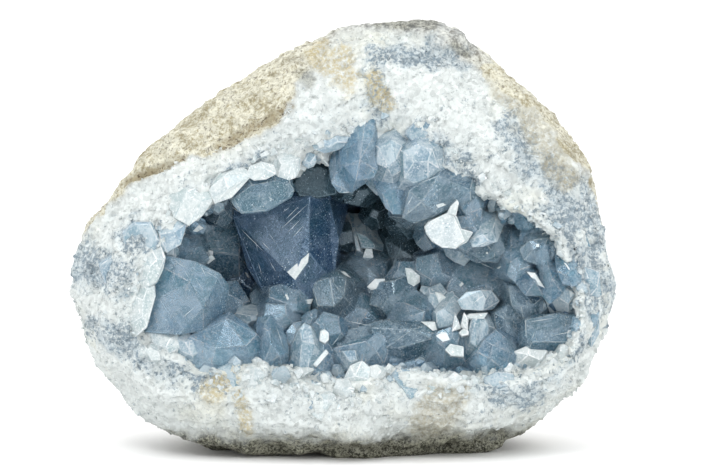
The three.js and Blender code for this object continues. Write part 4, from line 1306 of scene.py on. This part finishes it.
def build_marks():
    """Painted highlights laid on the crystals as bright white chips, and straight scratches."""
    names = ["rock", "large_crystals", "rim_lumps", *FILL_LAYERS, *LINING_LAYERS, *EDGE_LAYERS]
    trees = [ray_tree(name) for name in names]

    def front(column, row):
        depths = [seen_on_plan(tree, column, row) for tree in trees]
        return min(d for d in depths if d is not None)

    made = []
    for i, corners in enumerate(PAINTED_GLINTS):
        depth = front(*np.mean(corners, axis=0))
        laid = [(*c, float(np.clip(front(*c), depth - 0.8, depth + 0.8)) - 0.5) for c in corners]
        made.append(planned_crystal(i, depth, (0, 0), None, (0, 2.5, 0), laid))
    for start, end, width in SCRATCHES:
        a, b = (plan_place(*c, front(*c) - 0.05) for c in (start, end))
        along = (b - a) / np.linalg.norm(b - a)
        across = np.cross(along, (0, 1, 0)) * width * PLAN_SQUARE / 2
        thin = np.array((0, 0.15, 0))
        middle = a + 0.4 * (b - a)
        made.append(hull([a, b, middle + across, middle - across, a + thin, b + thin, middle + thin]))
    placements = [as_made(i, 0.9, FROSTED) for i in range(len(made))]
    joined_copies("chips_and_scratches", made, placements, "crystal")
    thrown_away(*made)


def build_dust():
    """Fine bright dust where the crystals' faces are open to the front, thicker in places."""
    hosts = [Surface(name) for name in ("large_crystals", *FILL_LAYERS)]
    models = grain_models()
    rng = np.random.default_rng(DUST["seed"])
    least, most = DUST["width"]
    placements = []
    for host in hosts:
        places, normals = host.spread(host.normals[:, 1] < -0.1, DUST["spacing"], DUST["seed"])
        thick = each_noise(places, 9, 31) + 0.7 * each_noise(places, 3, 32)
        thick = thick + rng.normal(0, 0.25, len(places))
        for place, normal in zip(places[thick > 0.1], normals[thick > 0.1]):
            width = least + (most - least) * rng.random() ** 2
            stretch, roll = rng.uniform(0.5, 2), rng.uniform(0, 2 * math.pi)
            number = int(rng.integers(len(models)))
            start = Vector(place + 0.2 * normal) * MM
            if any(other.tree.ray_cast(start, Vector((0, -1, 0.1)))[0] for other in hosts):
                continue
            scale = (width, width * stretch, width * DUST["thickness"])
            matrix = turned_to(place + 0.15 * width * normal, normal, roll, scale)
            placements.append((number, matrix, 0.6, MILKY, math.inf))
    joined_copies("dust", models, placements, "crystal")
    thrown_away(*models)


def add_softbox(name, place, size, power):
    """A square-cornered light that looks at the hollow."""
    data = bpy.data.lights.new(name, "AREA")
    data.shape = "RECTANGLE"
    data.size, data.size_y = size
    data.energy = power
    light = new_object(name, data)
    light.location = place
    aim = Vector((AXIS_X, -10, AXIS_Z)) * MM
    light.rotation_euler = (aim - Vector(place)).to_track_quat("-Z", "Y").to_euler()


def build_stage(look):
    """The floor, the light and the camera."""
    select_nothing()
    bpy.ops.mesh.primitive_plane_add(size=look.floor_size, location=(0, 0, 0))
    floor = bpy.context.object
    floor.name = "floor"
    new_material("pale floor", Base_Color=(*look.floor_colour, 1), Roughness=0.9, Specular_IOR_Level=0.1)
    floor.data.materials.append(bpy.data.materials["pale floor"])
    bpy.ops.object.transform_apply(location=True, rotation=True, scale=True)

    scene = bpy.context.scene
    scene.view_settings.view_transform = "Standard"
    scene.world = bpy.data.worlds.new("white studio")
    scene.world.use_nodes = True
    web = Web(scene.world.node_tree)
    background = web.tree.nodes["Background"].inputs
    background["Color"].default_value = (1, 1, 1, 1)
    place = web.take("Generated", "ShaderNodeTexCoord")
    aims = web.outputs(web.add("ShaderNodeSeparateXYZ", {"Vector": place}))
    height = web.math("ABSOLUTE", aims["Z"] - 0.05).between(0.12, 0.55)
    dimmed = aims["Y"].between(0.3, -0.3) * (1.0 - height)
    lit = look.overhead - dimmed * (look.overhead - look.camera_side)
    seen = web.take("Is Camera Ray", "ShaderNodeLightPath")
    web.put(background["Strength"], seen * look.surround + (1.0 - seen) * lit)

    add_softbox("overhead softbox", (-0.3, -0.95, 1.05), (0.5, 0.35), look.key_power)
    add_softbox("front softbox", (0.9, -1.3, 0.3), (0.3, 0.6), look.fill_power)
    add_softbox("left softbox", (-1.1, -1.0, 0.35), (0.3, 0.6), look.fill_power * 0.4)
    add_softbox("low softbox", (0.1, -1.5, 0.12), (0.5, 0.15), look.fill_power * 0.4)

    data = bpy.data.cameras.new("camera")
    data.sensor_width = SENSOR_WIDTH
    data.lens = SENSOR_WIDTH * PLAN_DISTANCE / (2 * PLAN_MIDDLE_SQUARE[0] * PLAN_SQUARE)
    data.clip_end = 50
    scene.camera = new_object("camera", data)
    scene.camera.location = CAMERA_PLACE * MM
    scene.camera.rotation_euler = (-Vector(TO_CAMERA)).to_track_quat("-Z", "Y").to_euler()


# ---- The add-on ----
class GeodeRock(bpy.types.PropertyGroup):
    fineness: bpy.props.FloatProperty(
        name="Fineness", description="Size of the rock mesh's faces", default=0.00126, unit="LENGTH"
    )
    chipping: bpy.props.FloatProperty(
        name="Chipping", description="How deep the rim's chips are", default=0.55, subtype="FACTOR"
    )
    sunk: bpy.props.FloatProperty(
        name="Sunk", description="How far the relief starts under the solid, in mm", default=0.8
    )
    white: bpy.props.FloatVectorProperty(
        name="White", description="Colour of the rim's sugar", default=(0.61, 0.65, 0.64), subtype="COLOR"
    )
    blue_grey: bpy.props.FloatVectorProperty(
        name="Blue", description="Colour of clearer sugar", default=(0.18, 0.235, 0.275), subtype="COLOR"
    )


class GeodeCrystals(bpy.types.PropertyGroup):
    edge_softness: bpy.props.FloatProperty(
        name="Edge softness", description="Width of the crystals' worn edges", default=0.00026, unit="LENGTH"
    )
    root_slope: bpy.props.FloatProperty(
        name="Root slope", description="How fast a large crystal widens towards its root", default=0.6
    )
    glint: bpy.props.FloatVectorProperty(
        name="Glint", description="Colour of the gloss", default=(0.7, 0.87, 1.0, 1), size=4, subtype="COLOR"
    )


class GeodeStage(bpy.types.PropertyGroup):
    floor_size: bpy.props.FloatProperty(
        name="Floor", description="Side of the floor", default=24, unit="LENGTH"
    )
    floor_colour: bpy.props.FloatVectorProperty(
        name="Floor colour", description="Colour of the floor", default=(0.93, 0.93, 0.93), subtype="COLOR"
    )
    surround: bpy.props.FloatProperty(
        name="Surround", description="Brightness of the white surround", default=1.5
    )
    overhead: bpy.props.FloatProperty(
        name="Overhead", description="Brightness of the studio above", default=1.55
    )
    camera_side: bpy.props.FloatProperty(
        name="Camera side", description="Brightness of the studio behind the camera", default=0.9
    )
    key_power: bpy.props.FloatProperty(
        name="Overhead light", description="Power of the overhead softbox", default=3.7, unit="POWER"
    )
    fill_power: bpy.props.FloatProperty(
        name="Front light", description="Power of the front softbox", default=2.4, unit="POWER"
    )


class GEODE_OT_rock(bpy.types.Operator):
    """Build the rock shell"""

    bl_idname = "geode.rock"
    bl_label = "Rock Shell"

    def execute(self, context):
        build_materials()
        build_rock(context.scene.geode_rock)
        return {"FINISHED"}


class GEODE_OT_large_crystals(bpy.types.Operator):
    """Build the large crystals"""

    bl_idname = "geode.large_crystals"
    bl_label = "Large Crystals"

    def execute(self, context):
        build_materials()
        build_large_crystals(context.scene.geode_crystals)
        return {"FINISHED"}


class GEODE_OT_lining(bpy.types.Operator):
    """Build the smaller crystals that fill and line the hollow and its mouth"""

    bl_idname = "geode.lining"
    bl_label = "Lining Crystals"

    def execute(self, context):
        build_fill()
        build_lining()
        build_edge()
        return {"FINISHED"}


class GEODE_OT_grains(bpy.types.Operator):
    """Build the lumps and grains of the broken rim, and the painted highlights, scratches and dust on the
    crystals
    """

    bl_idname = "geode.grains"
    bl_label = "Rim Grains"

    def execute(self, context):
        build_lumps(context.scene.geode_crystals)
        build_grains()
        build_marks()
        build_dust()
        return {"FINISHED"}


class GEODE_OT_stage(bpy.types.Operator):
    """Set the floor, the lights and the camera"""

    bl_idname = "geode.stage"
    bl_label = "Stage"

    def execute(self, context):
        build_stage(context.scene.geode_stage)
        return {"FINISHED"}


class GEODE_PT_panel(bpy.types.Panel):
    bl_idname = "GEODE_PT_panel"
    bl_label = "Celestite Geode"
    bl_space_type = "VIEW_3D"
    bl_region_type = "UI"
    bl_category = "Geode"

    def draw(self, context):
        for group in (getattr(context.scene, name) for name in GROUPS):
            box = self.layout.box()
            for name in group.__annotations__:
                box.prop(group, name)
        for operator in OPERATORS:
            self.layout.operator(operator.bl_idname)


GROUPS = {"geode_rock": GeodeRock, "geode_crystals": GeodeCrystals, "geode_stage": GeodeStage}
OPERATORS = (GEODE_OT_rock, GEODE_OT_large_crystals, GEODE_OT_lining, GEODE_OT_grains, GEODE_OT_stage)


def register():
    for name, group in GROUPS.items():
        bpy.utils.register_class(group)
        setattr(bpy.types.Scene, name, bpy.props.PointerProperty(type=group))
    for cls in (*OPERATORS, GEODE_PT_panel):
        bpy.utils.register_class(cls)


def unregister():
    for cls in (GEODE_PT_panel, *reversed(OPERATORS)):
        bpy.utils.unregister_class(cls)
    for name, group in reversed(GROUPS.items()):
        delattr(bpy.types.Scene, name)
        bpy.utils.unregister_class(group)


def main():
    register()
    bpy.ops.geode.rock()
    bpy.ops.geode.large_crystals()
    bpy.ops.geode.lining()
    bpy.ops.geode.grains()
    bpy.ops.geode.stage()


if __name__ == "__main__":
    main()
